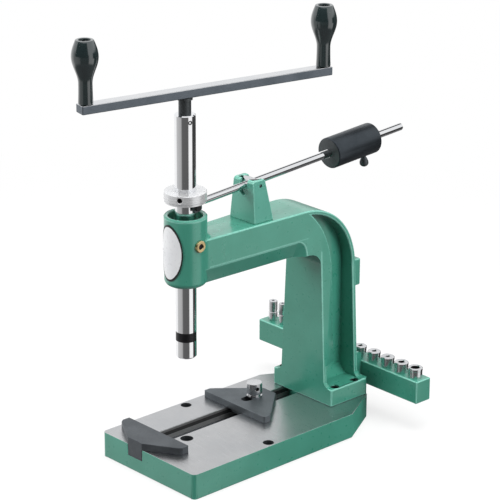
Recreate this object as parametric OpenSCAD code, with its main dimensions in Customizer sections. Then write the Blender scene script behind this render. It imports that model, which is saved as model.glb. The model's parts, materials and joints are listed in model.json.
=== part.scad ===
// Hand crank tapping tool: a bench tool that turns a tap by hand while keeping it square to the work.
// Millimetres, +Z up, front at -Y. The origin lies on the spindle axis at the underside of the base.

/* [Base plate] */
// width of the base plate from left to right
base_w = 148; // [140:1:160]
// spindle axis to the front face of the base
base_front = 55; // [55:1:65]
// spindle axis to the rear face of the base
base_back = 227; // [227:1:240]
// thickness of the base plate
base_t = 28; // [26:1:34]
// sideways size of each cut rear corner
rear_cut_x = 29; // [20:1:29]
// front to back size of each cut rear corner
rear_cut_y = 52; // [30:1:55]
// radius of the two front corners
front_corner_r = 5; // [2:0.5:8]
// spindle axis to the middle of the jaw groove, to the left
groove_off = 20.5; // [20:0.5:22]
// width of the jaw groove
groove_w = 23; // [22:0.5:23]
// depth of the jaw groove
groove_d = 12.5; // [10:0.5:13]
// spindle axis to the front end of the slot through the groove floor
slot_front = 9; // [6:1:12]
// spindle axis to the rear end of the slot through the groove floor
slot_back = 148; // [146:1:152]
// width of the slot through the groove floor
slot_w = 11; // [10.6:0.2:12]
// depth of the nut channel under the base
channel_d = 9; // [8:0.5:10]
// width of the nut channel under the base
channel_w = 21; // [20.6:0.2:24]
// spindle axis to each bench bolt hole, sideways
bench_hole_x = 66; // [62:1:67]
// spindle axis to the bench bolt holes, towards the back
bench_hole_y = 57; // [40:1:70]
// diameter of the bench bolt holes
bench_hole_d = 12; // [9:0.5:13]
// diameter of the tap clearance hole under the spindle
tap_hole_d = 14; // [10:0.5:15]

/* [Frame casting] */
// spindle axis to the front face of the column
throat = 170; // [168:1:173]
// width of the foot
foot_w = 92; // [92:1:98]
// height of the foot
foot_h = 20; // [18:1:24]
// rear face of the column, measured from the spindle axis
column_back = 222; // [221:1:224]
// half width of the column where it meets the foot
column_hw_low = 34.5; // [32:0.5:35]
// half width of the column at the arm
column_hw_top = 27; // [25:0.5:28]
// half width of the arm at the head
arm_hw = 20; // [19:0.5:21]
// underside of the arm above the base top
arm_low = 176; // [174:1:180]
// height of the arm
arm_h = 51; // [48:1:52]
// radius of the outer corner of the frame
outer_r = 75; // [72:1:75]
// radius of the inside corner under the arm
inner_r = 16; // [10:1:20]
// sideways size of the sloping cut along the lower edges of the arm
arm_cut_x = 8.5; // [5:0.5:9]
// height of the sloping cut along the lower edges of the arm
arm_cut_h = 19; // [14:1:22]
// half thickness of the web left between the side recesses
web_hw = 11; // [9:0.5:14]
// thickness of the rim behind the side recesses
rim_t = 5; // [4:0.5:7]
// thickness of the wall in front of the low part of the side recesses
front_t = 5; // [4:0.5:6]
// depth of the solid strip in front of the side recesses
strip_d = 16; // [14:1:20]
// radius of the curve that ends the solid strip at the arm
strip_r = 95; // [90:1:100]
// lower end of the solid strip above the base top
strip_low = 42; // [38:1:50]
// radius of the flare between column and foot
flare_r = 10; // [8:0.5:10.5]
// radius of the hollow at the bottom of the side recesses
scoop_r = 18; // [14:1:20]
// face of the two rear pads, measured from the spindle axis
pad_back = 234; // [232:1:236]
// half width of the lower rear pad, which carries the tap rack
boss_hw = 28; // [26:1:30]
// top of the lower rear pad above the base top
boss_top = 44; // [40:1:48]
// half width of the upper rear pad
pad_hw = 24; // [20:1:26]
// underside of the upper rear pad above the base top
pad_low = 122; // [110:1:124]
// height of the upper rear pad
pad_h = 31; // [26:1:33]
// radius of the head
head_r = 22.5; // [21.5:0.5:24]
// height of the head
head_h = 75.5; // [74:0.5:77]
// radius of the rounded lower edge of the head
head_round = 6; // [3:0.5:7]
// radius of the recess in the top of the head
head_recess_r = 18; // [17:0.5:18.5]
// depth of the recess in the top of the head
head_recess_d = 8; // [5:0.5:9]
// outer radius of the spindle bushes
bush_r = 14; // [13:0.5:15]

/* [Spindle and crank] */
// radius of the spindle
spindle_r = 11; // [10.5:0.1:11.4]
// running gap between spindle and bush
spindle_gap = 0.05; // [0.02:0.01:0.1]
// length of spindle below the head
spindle_drop = 81.5; // [76:0.5:86]
// length of spindle above the lifting collar
spindle_up = 81.6; // [76:0.2:86]
// radius of the tap holder socket in the spindle
socket_r = 7; // [6:0.5:7]
// depth of the tap holder socket
socket_d = 38; // [30:1:45]
// radius of the lifting collar
collar_r = 22.2; // [21.8:0.2:23]
// thickness of the lifting collar
collar_t = 9.6; // [8:0.2:11]
// radius of the crank stem
stem_r = 6.5; // [6:0.25:7]
// length of crank stem between spindle and crank arm
stem_show = 17.6; // [16:0.2:24]
// thickness of the crank arm
crank_t = 9; // [8:0.5:10]
// half width of the crank arm
crank_hw = 7.2; // [6.8:0.1:8]
// spindle axis to the handle on the short end
crank_short = 111.5; // [100:0.5:130]
// spindle axis to the handle on the long end
crank_long = 165; // [140:0.5:175]
// direction of the long end of the crank at rest
crank_angle = 78; // [60:1:100]
// height of the turning handles
handle_h = 65; // [60:1:72]
// largest radius of the turning handles
handle_r = 13.7; // [12.5:0.1:15]
// radius of the handle neck
handle_neck_r = 7.1; // [6.8:0.1:8]
// radius of the handle top
handle_top_r = 9.4; // [9:0.1:11]
// radius of the handle axles
axle_r = 4; // [3.5:0.25:4.5]

/* [Lever and counterweight] */
// spindle axis to the lever pivot
pivot_y = 91; // [88:1:94]
// lever pivot above the top of the head
pivot_rise = 14; // [13.5:0.25:14.5]
// fork pins below the lever pivot
fork_drop = 2.5; // [2:0.25:3]
// upward lean of the lever towards the back at rest, in degrees
rod_tilt = 3.8; // [3.4:0.1:4.2]
// radius of the fork pin heads
fork_pin_r = 3; // [2.8:0.1:3]
// space between the fork pins and the thrust washer
fork_gap = 0.35; // [0.3:0.05:0.5]
// thickness of the thrust washer
washer_t = 1.9; // [1.5:0.1:2.2]
// radius of the lever rod
rod_r = 4; // [3.5:0.25:4.5]
// pivot to the rear end of the lever rod
rod_len = 227; // [220:1:235]
// radius of the counterweight
weight_r = 17; // [16:0.5:18]
// length of the counterweight
weight_len = 65; // [60:1:75]
// pivot to the front face of the counterweight
weight_pos = 115; // [112:1:118]
// radius of the lever pivot pin
pivot_r = 2; // [1.75:0.25:2.25]
// outside half width of the lever bracket at its top
bracket_hw = 15; // [14:0.5:16]
// outside half width of the lever bracket at the arm
bracket_foot_hw = 19.5; // [18:0.5:20]
// thickness of the bracket ears at their top
ear_t = 5.5; // [5:0.25:6]
// top of the bracket ears above the pivot
ear_rise = 6.5; // [5:0.5:8]

/* [Jaws and tap rack] */
// thickness of both jaws above the base
jaw_t = 8; // [7:0.5:9]
// length of the jaws from left to right
jaw_len = 98; // [90:1:102]
// straight face of the fixed jaw, in front of the spindle axis
fixed_jaw_y = 21.5; // [18:0.5:24]
// straight face of the moving jaw at rest, behind the spindle axis
moving_jaw_y = 86; // [82:1:88]
// depth of the moving jaw from front to back
moving_jaw_d = 54; // [50:1:56]
// clamp screw behind the straight face of the moving jaw
clamp_off = 31; // [29:0.5:32]
// radius of the clamp screw shank
clamp_r = 5; // [4.5:0.1:5.1]
// radius of the clamp screw head
clamp_head_r = 8.5; // [7.5:0.25:9.5]
// height of the clamp screw head
clamp_head_h = 12.5; // [9:0.5:14]
// left end of the tap rack, measured from the spindle axis
rack_left = 139; // [137:1:145]
// right end of the tap rack, measured from the spindle axis
rack_right = 113; // [112:1:118]
// thickness of the tap rack from front to back
rack_d = 22; // [20:1:24]
// underside of the tap rack above the base top
rack_low = 6.5; // [6:0.5:10]
// height of the tap rack
rack_h = 26; // [22:0.5:27]
// depth of the holder sockets in the rack
rack_socket_d = 16; // [14:0.5:18]
// sliding gap round the tap holders
holder_gap = 0.1; // [0.1:0.02:0.16]

/* [Hidden] */
$fn = 64;
bt = base_t;
cast = [0.31, 0.57, 0.48];
steel = [0.72, 0.73, 0.75];
dark = [0.24, 0.26, 0.28];
black = [0.06, 0.06, 0.07];
bronze = [0.70, 0.52, 0.28];
arm_top = arm_low + arm_h;
head_low = arm_low + 0.5;
head_top = head_low + head_h;
bush_h = head_h - head_recess_d;
pivot_h = head_top + pivot_rise;
fork_pin_h = pivot_h - fork_drop;
// places of the fork pins seen from the pivot: along the lever, and above its axis
fork_len = pivot_y * cos(rod_tilt) + fork_drop * sin(rod_tilt);
fork_up = pivot_y * sin(rod_tilt) - fork_drop * cos(rod_tilt);
washer_low = fork_pin_h + fork_pin_r + fork_gap;
collar_low = washer_low + washer_t;
spindle_low = head_low - spindle_drop;
spindle_top = collar_low + collar_t + spindle_up;
crank_low = spindle_top + stem_show;
crank_top = crank_low + crank_t;
clamp_y = moving_jaw_y + clamp_off;
rack_y = pad_back + rack_d / 2;
rack_top = rack_low + rack_h;
foot_back = column_back + 5;
outer_y = column_back - outer_r;
outer_h = arm_top - outer_r;
strip_y = throat + strip_d;
taper = atan2(column_hw_top - arm_hw, throat);
// screws, dowels and pins
bolt_r = 3;
bolt_gap = 0.05;
bolt_head_r = 4.6;
bolt_head_h = 6;
bolt_grip = 15;
bolt_x = 40;
bolt_y = [throat + 11, throat + 41];
spot_h = foot_h - 7;
spot_r = bolt_head_r + 0.6;
dowel_r = 3;
dowel_x = [5, 30];
dowel_y = throat + 28;
dowel_d = 11.5;
dowel_up = 9.5;
jaw_screw_y = [9 - base_front, 22 - base_front];
rack_screw_x = [-20, 1.5];
rack_screw_h = rack_low + 16.5;
rack_screw_grip = 15;
bracket_screw_r = 2.5;
bracket_screw_head_r = 4.2;
bracket_screw_y = [pivot_y - 1, pivot_y + 9.5];
bracket_screw_grip = 13;
stem_depth = 34;
stem_screw_r = 2.25;
stem_screw_h = spindle_top - 7;
spigot_r = 5;
spigot_h = 0.7 * crank_t;
collar_screw_r = 2.65;
collar_screw_angle = -57;
weight_screw_r = 2.4;
weight_screw_off = 53;
weight_slot_hw = rod_r + 0.5;
weight_slot_turn = 25;
weight_screw_y = weight_pos + weight_screw_off;
// bracket, oil plug and blank plate
bracket_front = 12;
bracket_rear = 15;
bracket_floor = 5;
ear_front = 10.5;
ear_rear = 7;
ear_corner = 2;
notch_r = 5.5;
notch_h = pivot_h - notch_r;
oil_h = arm_low + 47;
oil_seat = head_r - 0.4;
oil_head_r = 6.4;
plate_t = 0.8;
plate_hw = 15.6;
plate_hh = 30.7;
plate_mid = head_low + head_h / 2 + 1;
// nose of the spindle
band_low = spindle_low + 19;
band_h = 10;
band_depth = 1.4;
ball_r = 1.2;
ball_angle = -45;
// fork and hub of the lever
tine_x = 14.9;
tine_w = 4.2;
fork_t = 2.8;
fork_low = -1.8;
fork_in = spindle_r + 1.6;
fork_out = tine_x + tine_w / 2 - 0.2;
fork_back = collar_r - 0.2;
fork_boss_r = 2.6;
lug_hw = 2.2;
fork_axle_r = 1.5;
tongue_hw = 2.5;
tongue_end = fork_back + 12;
rod_front = collar_r + 2.2;
hub_r = 6;
hub_bore = pivot_r + 0.6;
// places of the tap holders along the rack, from left to right
holder_x = [-127, -111, 15.5, 37, 58, 79, 100];
// collar, shank and bore radius of each holder, then its height above the rack
holder_size = [
    [5.2, 4.4, 1.8, 24], [4.6, 3.9, 1.6, 25], [7.2, 6.8, 2.6, 11.5], [7.4, 6.8, 2.7, 11.5],
    [7.7, 6.8, 2.4, 11.5], [8.0, 6.8, 3.6, 11.5], [8.2, 6.8, 4.9, 11.5]
];

// a shape drawn front to back and upwards, thickened to both sides of the middle plane
module side_plate(thick) {
    rotate([90, 0, 90]) linear_extrude(height = thick, center = true) children();
}

// moves a piece drawn along the lever into its tilted place on the pivot
module on_lever() {
    translate([0, pivot_y, bt + pivot_h]) rotate([rod_tilt, 0, 0]) children();
}

// moves a piece drawn along the crank arm into its place on the spindle
module on_crank() {
    rotate([0, 0, crank_angle]) translate([0, 0, bt]) children();
}

// a socket head screw pointing down, with the underside of its head at the origin
module cap_screw(r, length, head_r, head_t) {
    difference() {
        union() {
            translate([0, 0, -length]) cylinder(r = r, h = length);
            cylinder(r = head_r, h = head_t);
        }
        translate([0, 0, head_t * 0.45]) cylinder(r = head_r * 0.55, h = head_t, $fn = 6);
    }
}

// a long hole with round ends from y0 to y1, cut upwards from z0
module long_hole(x, w, y0, y1, z0, h) {
    translate([x - w / 2, y0 + w / 2, z0]) cube([w, y1 - y0 - w, h]);
    for (y = [y0 + w / 2, y1 - w / 2]) translate([x, y, z0]) cylinder(d = w, h = h);
}

module base_outline() {
    w = base_w / 2;
    r = front_corner_r;
    polygon([
        [-w + r, -base_front], [w - r, -base_front], [w, r - base_front], [w, base_back - rear_cut_y],
        [w - rear_cut_x, base_back], [rear_cut_x - w, base_back], [-w, base_back - rear_cut_y],
        [-w, r - base_front]
    ]);
    for (s = [-1, 1]) translate([s * (w - r), r - base_front]) circle(r = r);
}

module base_plate() {
    color(cast) difference() {
        linear_extrude(height = base_t) base_outline();
        translate([-groove_off - groove_w / 2, -base_front - 1, bt - groove_d])
            cube([groove_w, base_front + throat + 11, groove_d + 1]);
        long_hole(-groove_off, slot_w, slot_front, slot_back, -1, bt);
        translate([-groove_off - channel_w / 2, slot_front - 15, -1])
            cube([channel_w, slot_back - slot_front + 33, channel_d + 1]);
        for (s = [-1, 1]) translate([s * bench_hole_x, bench_hole_y, -1])
            cylinder(d = bench_hole_d, h = bt + 2);
        translate([0, 0, -1]) cylinder(d = tap_hole_d, h = bt + 2);
        for (s = [-1, 1], y = bolt_y) translate([s * bolt_x, y, bt - bolt_grip - 2])
            cylinder(r = bolt_r + bolt_gap, h = bolt_grip + 3);
        for (x = dowel_x) translate([x, dowel_y, bt - dowel_d - 0.5]) cylinder(r = dowel_r, h = dowel_d + 1);
        for (y = jaw_screw_y) translate([-groove_off, y, -1]) {
            cylinder(r = bolt_r + 0.3, h = bt);
            cylinder(r = bolt_head_r + 0.4, h = 8);
        }
    }
}

module foot_outline() {
    w = foot_w / 2;
    r = 4;
    translate([-w, throat]) square([foot_w, foot_back - throat - r]);
    translate([-w + r, throat]) square([foot_w - 2 * r, foot_back - throat]);
    for (s = [-1, 1]) translate([s * (w - r), foot_back - r]) circle(r = r);
}

module column_side() {
    translate([throat, 0]) square([column_back - throat, outer_h]);
    intersection() {
        translate([outer_y, outer_h]) circle(r = outer_r, $fn = 128);
        translate([throat, outer_h - 1]) square([outer_r, outer_r + 2]);
    }
}

module arm_side() {
    translate([9, arm_low]) square([outer_y - 9, arm_top - arm_low]);
    intersection() {
        translate([outer_y, outer_h]) circle(r = outer_r, $fn = 128);
        translate([outer_y - 1, arm_low]) square([throat - outer_y + 1, outer_r]);
    }
    difference() {
        translate([throat - inner_r, arm_low - inner_r]) square([inner_r, inner_r + 1]);
        translate([throat - inner_r, arm_low - inner_r]) circle(r = inner_r);
    }
}

// the hollow in each side of the column, between the front strip and the rim
module recess_side() {
    low_y = throat + front_t;
    corner_r = 6;
    difference() {
        union() {
            translate([low_y, foot_h]) square([column_back - rim_t - low_y, outer_h - foot_h]);
            intersection() {
                translate([outer_y, outer_h]) circle(r = outer_r - rim_t, $fn = 128);
                translate([outer_y, outer_h - 1]) square([outer_r, outer_r]);
            }
        }
        translate([outer_y - 1, strip_low + corner_r]) square([strip_y - outer_y + 1, outer_h - strip_low]);
        translate([outer_y - 1, strip_low]) square([strip_y - corner_r - outer_y + 1, corner_r + 1]);
        translate([strip_y - corner_r, strip_low + corner_r]) circle(r = corner_r);
        intersection() {
            translate([strip_y - strip_r, outer_h]) circle(r = strip_r, $fn = 128);
            translate([outer_y - 1, outer_h - 1]) square([outer_r, outer_r]);
        }
    }
}

// a quarter round hollow of radius r, with its foot at height h and its upright side at x,
// sunk a little so that it meets both at a slight angle
module flare(x, h, r) {
    sink = 0.06 * r;
    difference() {
        translate([x - 3, h - 1]) square([r + 3 - sink, r + 1 - sink]);
        translate([x + r - sink, h + r - sink]) circle(r = r);
    }
}

module column_solid() {
    w = column_hw_low;
    u = column_hw_top;
    flare_x = w - (w - u) * (foot_h + flare_r) / arm_low;
    intersection() {
        side_plate(4 * w) column_side();
        translate([0, column_back + outer_r / 2, 0]) rotate([90, 0, 0]) linear_extrude(height = 2 * outer_r) {
            polygon([[-w, 0], [w, 0], [u, arm_low], [u, arm_top + 9], [-u, arm_top + 9], [-u, arm_low]]);
            for (s = [0, 1]) mirror([s, 0]) flare(flare_x, foot_h, flare_r);
        }
    }
}

// lower rear pad with a round upper edge, and the flares that carry it down to the foot
module rear_boss() {
    edge_r = 5;
    depth = pad_back - column_back + 2;
    height = boss_top - foot_h + 6;
    side_plate(2 * boss_hw) {
        translate([column_back - 2, foot_h - 6]) square([depth - edge_r, height]);
        translate([column_back - 2, foot_h - 6]) square([depth, height - edge_r]);
        translate([pad_back - edge_r, boss_top - edge_r]) circle(r = edge_r);
    }
    translate([0, foot_back, 0]) rotate([90, 0, 0]) linear_extrude(height = foot_back - column_back + rim_t)
        for (s = [0, 1]) mirror([s, 0]) flare(boss_hw, foot_h, 1.1 * flare_r);
}

// the hollow floor of one side recess, which runs out onto the foot
module scoop() {
    translate([0, column_back - rim_t + 1, 0]) rotate([90, 0, 0])
        linear_extrude(height = column_back - rim_t - throat - front_t + 2) flare(web_hw, foot_h, scoop_r);
}

module arm_solid() {
    u = column_hw_top;
    difference() {
        intersection() {
            side_plate(3 * u) arm_side();
            linear_extrude(height = arm_top + 9)
                polygon([[-arm_hw, 0], [arm_hw, 0], [u, throat], [-u, throat]]);
        }
        for (s = [0, 1]) mirror([s, 0, 0]) translate([arm_hw, 0, 0]) rotate([0, 0, -taper])
            translate([0, throat - inner_r - 4, arm_low]) rotate([90, 0, 0]) linear_extrude(height = throat)
                polygon([[-1.25 * arm_cut_x, -0.25 * arm_cut_h], [0.25 * arm_cut_x, 1.25 * arm_cut_h],
                         [arm_cut_x, 1.25 * arm_cut_h], [arm_cut_x, -arm_cut_h],
                         [-1.25 * arm_cut_x, -arm_cut_h]]);
    }
}

module head_solid() {
    r = head_r;
    q = head_round;
    rotate_extrude($fn = 96) polygon(concat(
        [[0, head_low]], [for (a = [0 : 9 : 90]) [r - q + q * sin(a), head_low + q - q * cos(a)]],
        [[r, head_top - 1], [r - 1, head_top], [0, head_top]]
    ));
}

module frame_casting() {
    color(cast) translate([0, 0, bt]) difference() {
        union() {
            difference() {
                union() {
                    linear_extrude(height = foot_h) foot_outline();
                    column_solid();
                    arm_solid();
                    head_solid();
                    rear_boss();
                    translate([-pad_hw, column_back - 2, pad_low])
                        cube([2 * pad_hw, pad_back - column_back + 2, pad_h]);
                }
                for (s = [-1, 1]) translate([s * (web_hw + column_hw_low), 0, 0])
                    side_plate(2 * column_hw_low) recess_side();
            }
            for (s = [0, 1]) mirror([s, 0, 0]) scoop();
        }
        translate([0, 0, head_low - 1]) cylinder(r = bush_r, h = head_h + 2);
        translate([0, 0, head_top - head_recess_d]) cylinder(r = head_recess_r, h = head_recess_d + 1);
        translate([0, 0, oil_h]) rotate([0, 90, 0]) cylinder(r = bolt_r + bolt_gap, h = head_r + 2);
        translate([oil_seat, 0, oil_h]) rotate([0, 90, 0]) cylinder(r = oil_head_r + 0.2, h = 5);
        for (s = [-1, 1], y = bolt_y) translate([s * bolt_x, y, -1]) {
            cylinder(r = bolt_r + 0.3, h = foot_h);
            translate([0, 0, spot_h + 1]) cylinder(r = spot_r, h = 20);
        }
        for (x = dowel_x) translate([x, dowel_y, -1]) cylinder(r = dowel_r, h = dowel_up + 1.5);
        for (y = bracket_screw_y) translate([0, y, arm_top - bracket_screw_grip])
            cylinder(r = bracket_screw_r + bolt_gap, h = bracket_screw_grip + 1);
        for (x = rack_screw_x) translate([x, pad_back + 1, rack_screw_h]) rotate([90, 0, 0])
            cylinder(r = bolt_r + bolt_gap, h = rack_screw_grip);
    }
}

module foot_dowels() {
    color(steel) for (x = dowel_x) translate([x, dowel_y, bt - dowel_d])
        cylinder(r = dowel_r, h = dowel_d + dowel_up);
}

module column_bolts() {
    color(dark) for (s = [-1, 1], y = bolt_y) translate([s * bolt_x, y, bt + spot_h])
        cap_screw(bolt_r, spot_h + bolt_grip, bolt_head_r, bolt_head_h);
}

module spindle_bush(low, h) {
    color(bronze) translate([0, 0, bt + low]) difference() {
        cylinder(r = bush_r, h = h);
        translate([0, 0, -1]) cylinder(r = spindle_r + spindle_gap, h = h + 2);
    }
}

module upper_bush() {
    spindle_bush(head_low + 0.7 * bush_h, 0.3 * bush_h);
}

module lower_bush() {
    spindle_bush(head_low, 0.4 * bush_h);
}

// blank oval plate wrapped on the front of the head
module name_plate() {
    color([0.9, 0.9, 0.88]) translate([0, 0, bt + plate_mid]) intersection() {
        difference() {
            cylinder(r = head_r + plate_t, h = 2 * plate_hh + 4, center = true);
            cylinder(r = head_r, h = 2 * plate_hh + 6, center = true);
        }
        rotate([90, 0, 0]) linear_extrude(height = 2 * head_r)
            polygon([for (a = [0 : 7.5 : 352.5]) [plate_hw * cos(a), plate_hh * sin(a)]]);
    }
}

module oil_plug() {
    color(bronze) translate([0, 0, bt + oil_h]) rotate([0, 90, 0]) difference() {
        union() {
            translate([0, 0, bush_r + 1]) cylinder(r = bolt_r, h = oil_seat - bush_r);
            translate([0, 0, oil_seat]) cylinder(r = oil_head_r, h = 2.4);
        }
        translate([0, 0, oil_seat + 1]) cylinder(r = 2.6, h = 3);
    }
}

module ear_side() {
    front = pivot_y - ear_front;
    back = pivot_y + ear_rear;
    top = pivot_h + ear_rise;
    c = ear_corner;
    polygon([[pivot_y - bracket_front, arm_top], [pivot_y + bracket_rear, arm_top], [back, top - c],
             [back - c, top], [front + c, top], [front, top - c]]);
}

// a cast block with sloping sides, hollowed from behind, with a notch in front for the lever
module lever_bracket() {
    w = bracket_foot_hw;
    gap = bracket_hw - ear_t;
    front = pivot_y - bracket_front;
    web_back = pivot_y - hub_r - 0.6;
    top = pivot_h + ear_rise + 1;
    color(cast) translate([0, 0, bt]) difference() {
        intersection() {
            side_plate(2 * w) ear_side();
            translate([0, pivot_y + bracket_rear + 1, 0]) rotate([90, 0, 0])
                linear_extrude(height = bracket_front + bracket_rear + 2)
                polygon([[-w, arm_top], [w, arm_top], [bracket_hw, top], [-bracket_hw, top]]);
        }
        translate([-gap, web_back, arm_top + bracket_floor])
            cube([2 * gap, pivot_y + bracket_rear + 1 - web_back, top - arm_top]);
        translate([0, web_back + 1, notch_h]) rotate([90, 0, 0]) cylinder(r = notch_r, h = bracket_front);
        translate([-notch_r, front - 1, notch_h]) cube([2 * notch_r, bracket_front, top - notch_h]);
        translate([-w, pivot_y, pivot_h]) rotate([0, 90, 0]) cylinder(r = pivot_r, h = 2 * w);
        for (y = bracket_screw_y) translate([0, y, arm_top - 1])
            cylinder(r = bracket_screw_r + 0.2, h = bracket_floor + 2);
    }
}

module bracket_screws() {
    color(dark) for (y = bracket_screw_y) translate([0, y, bt + arm_top + bracket_floor])
        cap_screw(bracket_screw_r, bracket_floor + bracket_screw_grip - 1, bracket_screw_head_r, 5);
}

module pivot_pin() {
    color(steel) translate([0.5 - bracket_hw, pivot_y, bt + pivot_h]) rotate([0, 90, 0])
        cylinder(r = pivot_r, h = 2 * bracket_hw - 1);
}

module tap_rack() {
    color(cast) difference() {
        translate([-rack_left, pad_back, bt + rack_low]) cube([rack_left + rack_right, rack_d, rack_h]);
        for (i = [0 : 6]) translate([holder_x[i], rack_y, bt + rack_top - rack_socket_d])
            cylinder(r = holder_size[i][1] + holder_gap, h = rack_socket_d + 1);
        for (x = rack_screw_x) translate([x, pad_back - 1, bt + rack_screw_h]) rotate([-90, 0, 0]) {
            cylinder(r = bolt_r + 0.3, h = rack_d);
            translate([0, 0, rack_d - bolt_head_h]) cylinder(r = bolt_head_r + 0.4, h = bolt_head_h + 3);
        }
    }
}

module rack_screws() {
    color(dark) for (x = rack_screw_x) translate([x, pad_back + rack_d - bolt_head_h - 1, bt + rack_screw_h])
        rotate([-90, 0, 0]) cap_screw(bolt_r, rack_d + 5, bolt_head_r, bolt_head_h);
}

module jaw_outline(depth, nose) {
    w = jaw_len / 2;
    polygon([[-w, 1.5], [1.5 - w, 0], [w - 1.5, 0], [w, 1.5], [w, 9], [w - 3, 13],
             [nose, depth], [-nose, depth], [3 - w, 13], [-w, 9]]);
}

module fixed_jaw() {
    d = base_front - fixed_jaw_y;
    w = groove_w / 2;
    color(dark) translate([-groove_off, -fixed_jaw_y, bt]) difference() {
        union() {
            linear_extrude(height = jaw_t) mirror([0, 1, 0]) jaw_outline(d, w);
            translate([-w, -d, -groove_d]) cube([2 * w, d - 4, groove_d + 1]);
        }
        for (y = jaw_screw_y) translate([0, y + fixed_jaw_y, -groove_d - 1])
            cylinder(r = bolt_r + bolt_gap, h = 14);
    }
}

module fixed_jaw_screws() {
    color(dark) for (y = jaw_screw_y) translate([-groove_off, y, 7]) rotate([180, 0, 0])
        cap_screw(bolt_r, bt - groove_d + 4.5, bolt_head_r, bolt_head_h);
}

module moving_jaw() {
    color(dark) difference() {
        union() {
            translate([-groove_off, moving_jaw_y, bt]) linear_extrude(height = jaw_t)
                jaw_outline(moving_jaw_d, 10);
            translate([-groove_off - groove_w / 2 + 0.1, moving_jaw_y + 5, bt - 6])
                cube([groove_w - 0.2, moving_jaw_d - 9, 7]);
        }
        long_hole(-groove_off, 2 * clamp_r + 0.8, clamp_y - 18, clamp_y + 8, bt - 9, 30);
    }
}

module clamp_washer() {
    color(steel) translate([-groove_off, clamp_y, bt + jaw_t]) difference() {
        cylinder(r = clamp_head_r, h = 1.6);
        translate([0, 0, -1]) cylinder(r = clamp_r + 0.3, h = 4);
    }
}

module clamp_nut() {
    color(dark) difference() {
        translate([-groove_off - 10, clamp_y - 9, channel_d - 7.5]) cube([20, 18, 7.5]);
        translate([-groove_off, clamp_y, 0]) cylinder(r = clamp_r + bolt_gap, h = bt);
    }
}

module clamp_screw() {
    color(steel) translate([-groove_off, clamp_y, 0]) difference() {
        union() {
            translate([0, 0, 2]) cylinder(r = clamp_r, h = bt + jaw_t + 2);
            translate([0, 0, bt + jaw_t + 1.6]) cylinder(r = clamp_r + 1.2, h = 3);
            translate([0, 0, bt + jaw_t + 4]) cylinder(r = clamp_head_r, h = clamp_head_h);
        }
        translate([0, 0, bt + jaw_t + 4 + 0.55 * clamp_head_h]) rotate([0, 90, -20])
            cylinder(r = 2.1, h = 3 * clamp_head_r, center = true);
    }
}

module thrust_washer() {
    color(steel) translate([0, 0, bt + washer_low]) difference() {
        cylinder(r = collar_r - 0.4, h = washer_t);
        translate([0, 0, -1]) cylinder(r = spindle_r + 0.3, h = washer_t + 2);
    }
}

module spindle() {
    top = spindle_top - spindle_low;
    color(steel) translate([0, 0, bt + spindle_low]) difference() {
        rotate_extrude($fn = 96) difference() {
            polygon([[0, 0], [spindle_r - 1.5, 0], [spindle_r, 1.5], [spindle_r, top - 1],
                     [spindle_r - 1, top], [0, top]]);
            translate([spindle_r - band_depth, band_low - spindle_low]) square([5, band_h]);
        }
        translate([0, 0, -1]) cylinder(r = socket_r, h = socket_d + 1);
        translate([0, 0, band_low + band_h / 2 - spindle_low]) rotate([0, 90, ball_angle])
            cylinder(r = ball_r + bolt_gap, h = spindle_r);
        translate([0, 0, top - stem_depth]) cylinder(r = stem_r + bolt_gap, h = stem_depth + 1);
        rotate([0, 0, crank_angle - 90]) translate([0, 0, stem_screw_h - spindle_low]) rotate([0, 90, 0])
            cylinder(r = stem_screw_r + bolt_gap, h = spindle_r + 2);
    }
}

module lift_collar() {
    color(steel) translate([0, 0, bt + collar_low]) difference() {
        rotate_extrude($fn = 96) polygon([
            [spindle_r, 0], [collar_r - 0.6, 0], [collar_r, 0.6], [collar_r, collar_t - 0.6],
            [collar_r - 0.6, collar_t], [spindle_r, collar_t]
        ]);
        rotate([0, 0, collar_screw_angle]) translate([0, 0, collar_t / 2]) rotate([0, 90, 0])
            cylinder(r = collar_screw_r + bolt_gap, h = collar_r + 5);
    }
}

module collar_screw() {
    color(black) rotate([0, 0, collar_screw_angle])
        translate([0, 0, bt + collar_low + collar_t / 2]) rotate([0, 90, 0])
        difference() {
            translate([0, 0, spindle_r + 0.3]) cylinder(r = collar_screw_r, h = 9.5);
            translate([0, 0, spindle_r + 6]) cylinder(r = 1.5, h = 9, $fn = 6);
        }
}

module nose_band() {
    color(black) translate([0, 0, bt + band_low]) difference() {
        cylinder(r = spindle_r - 0.1, h = band_h);
        translate([0, 0, -1]) cylinder(r = spindle_r - band_depth + bolt_gap, h = band_h + 2);
    }
}

module detent_ball() {
    color(steel) rotate([0, 0, ball_angle])
        translate([spindle_r - band_depth - ball_r - 0.05, 0, bt + band_low + band_h / 2])
        sphere(r = ball_r);
}

module crank_stem() {
    color(black) on_crank() {
        translate([0, 0, spindle_top - stem_depth])
            cylinder(r = stem_r, h = crank_low - spindle_top + stem_depth);
        translate([0, 0, crank_low - 2.5]) cylinder(r = stem_r + 1.6, h = 2.5);
        translate([0, 0, crank_low - 1]) cylinder(r = spigot_r, h = spigot_h + 1);
    }
}

module stem_screw() {
    color(dark) rotate([0, 0, crank_angle - 90]) translate([0, 0, bt + stem_screw_h]) rotate([0, 90, 0])
        difference() {
            translate([0, 0, stem_r]) cylinder(r = stem_screw_r, h = spindle_r - stem_r - 0.2);
            translate([0, 0, spindle_r - 2.2]) cylinder(r = 1.2, h = 9, $fn = 6);
        }
}

module crank_arm() {
    color(dark) on_crank() translate([0, 0, crank_low]) difference() {
        translate([-crank_short - crank_hw, -crank_hw, 0])
            cube([crank_short + crank_long + 2 * crank_hw, 2 * crank_hw, crank_t]);
        translate([0, 0, -1]) cylinder(r = spigot_r, h = spigot_h + 1);
        for (x = [-crank_short, crank_long]) translate([x, 0, -1])
            cylinder(r = axle_r - 0.5, h = crank_t + 2);
    }
}

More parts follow.
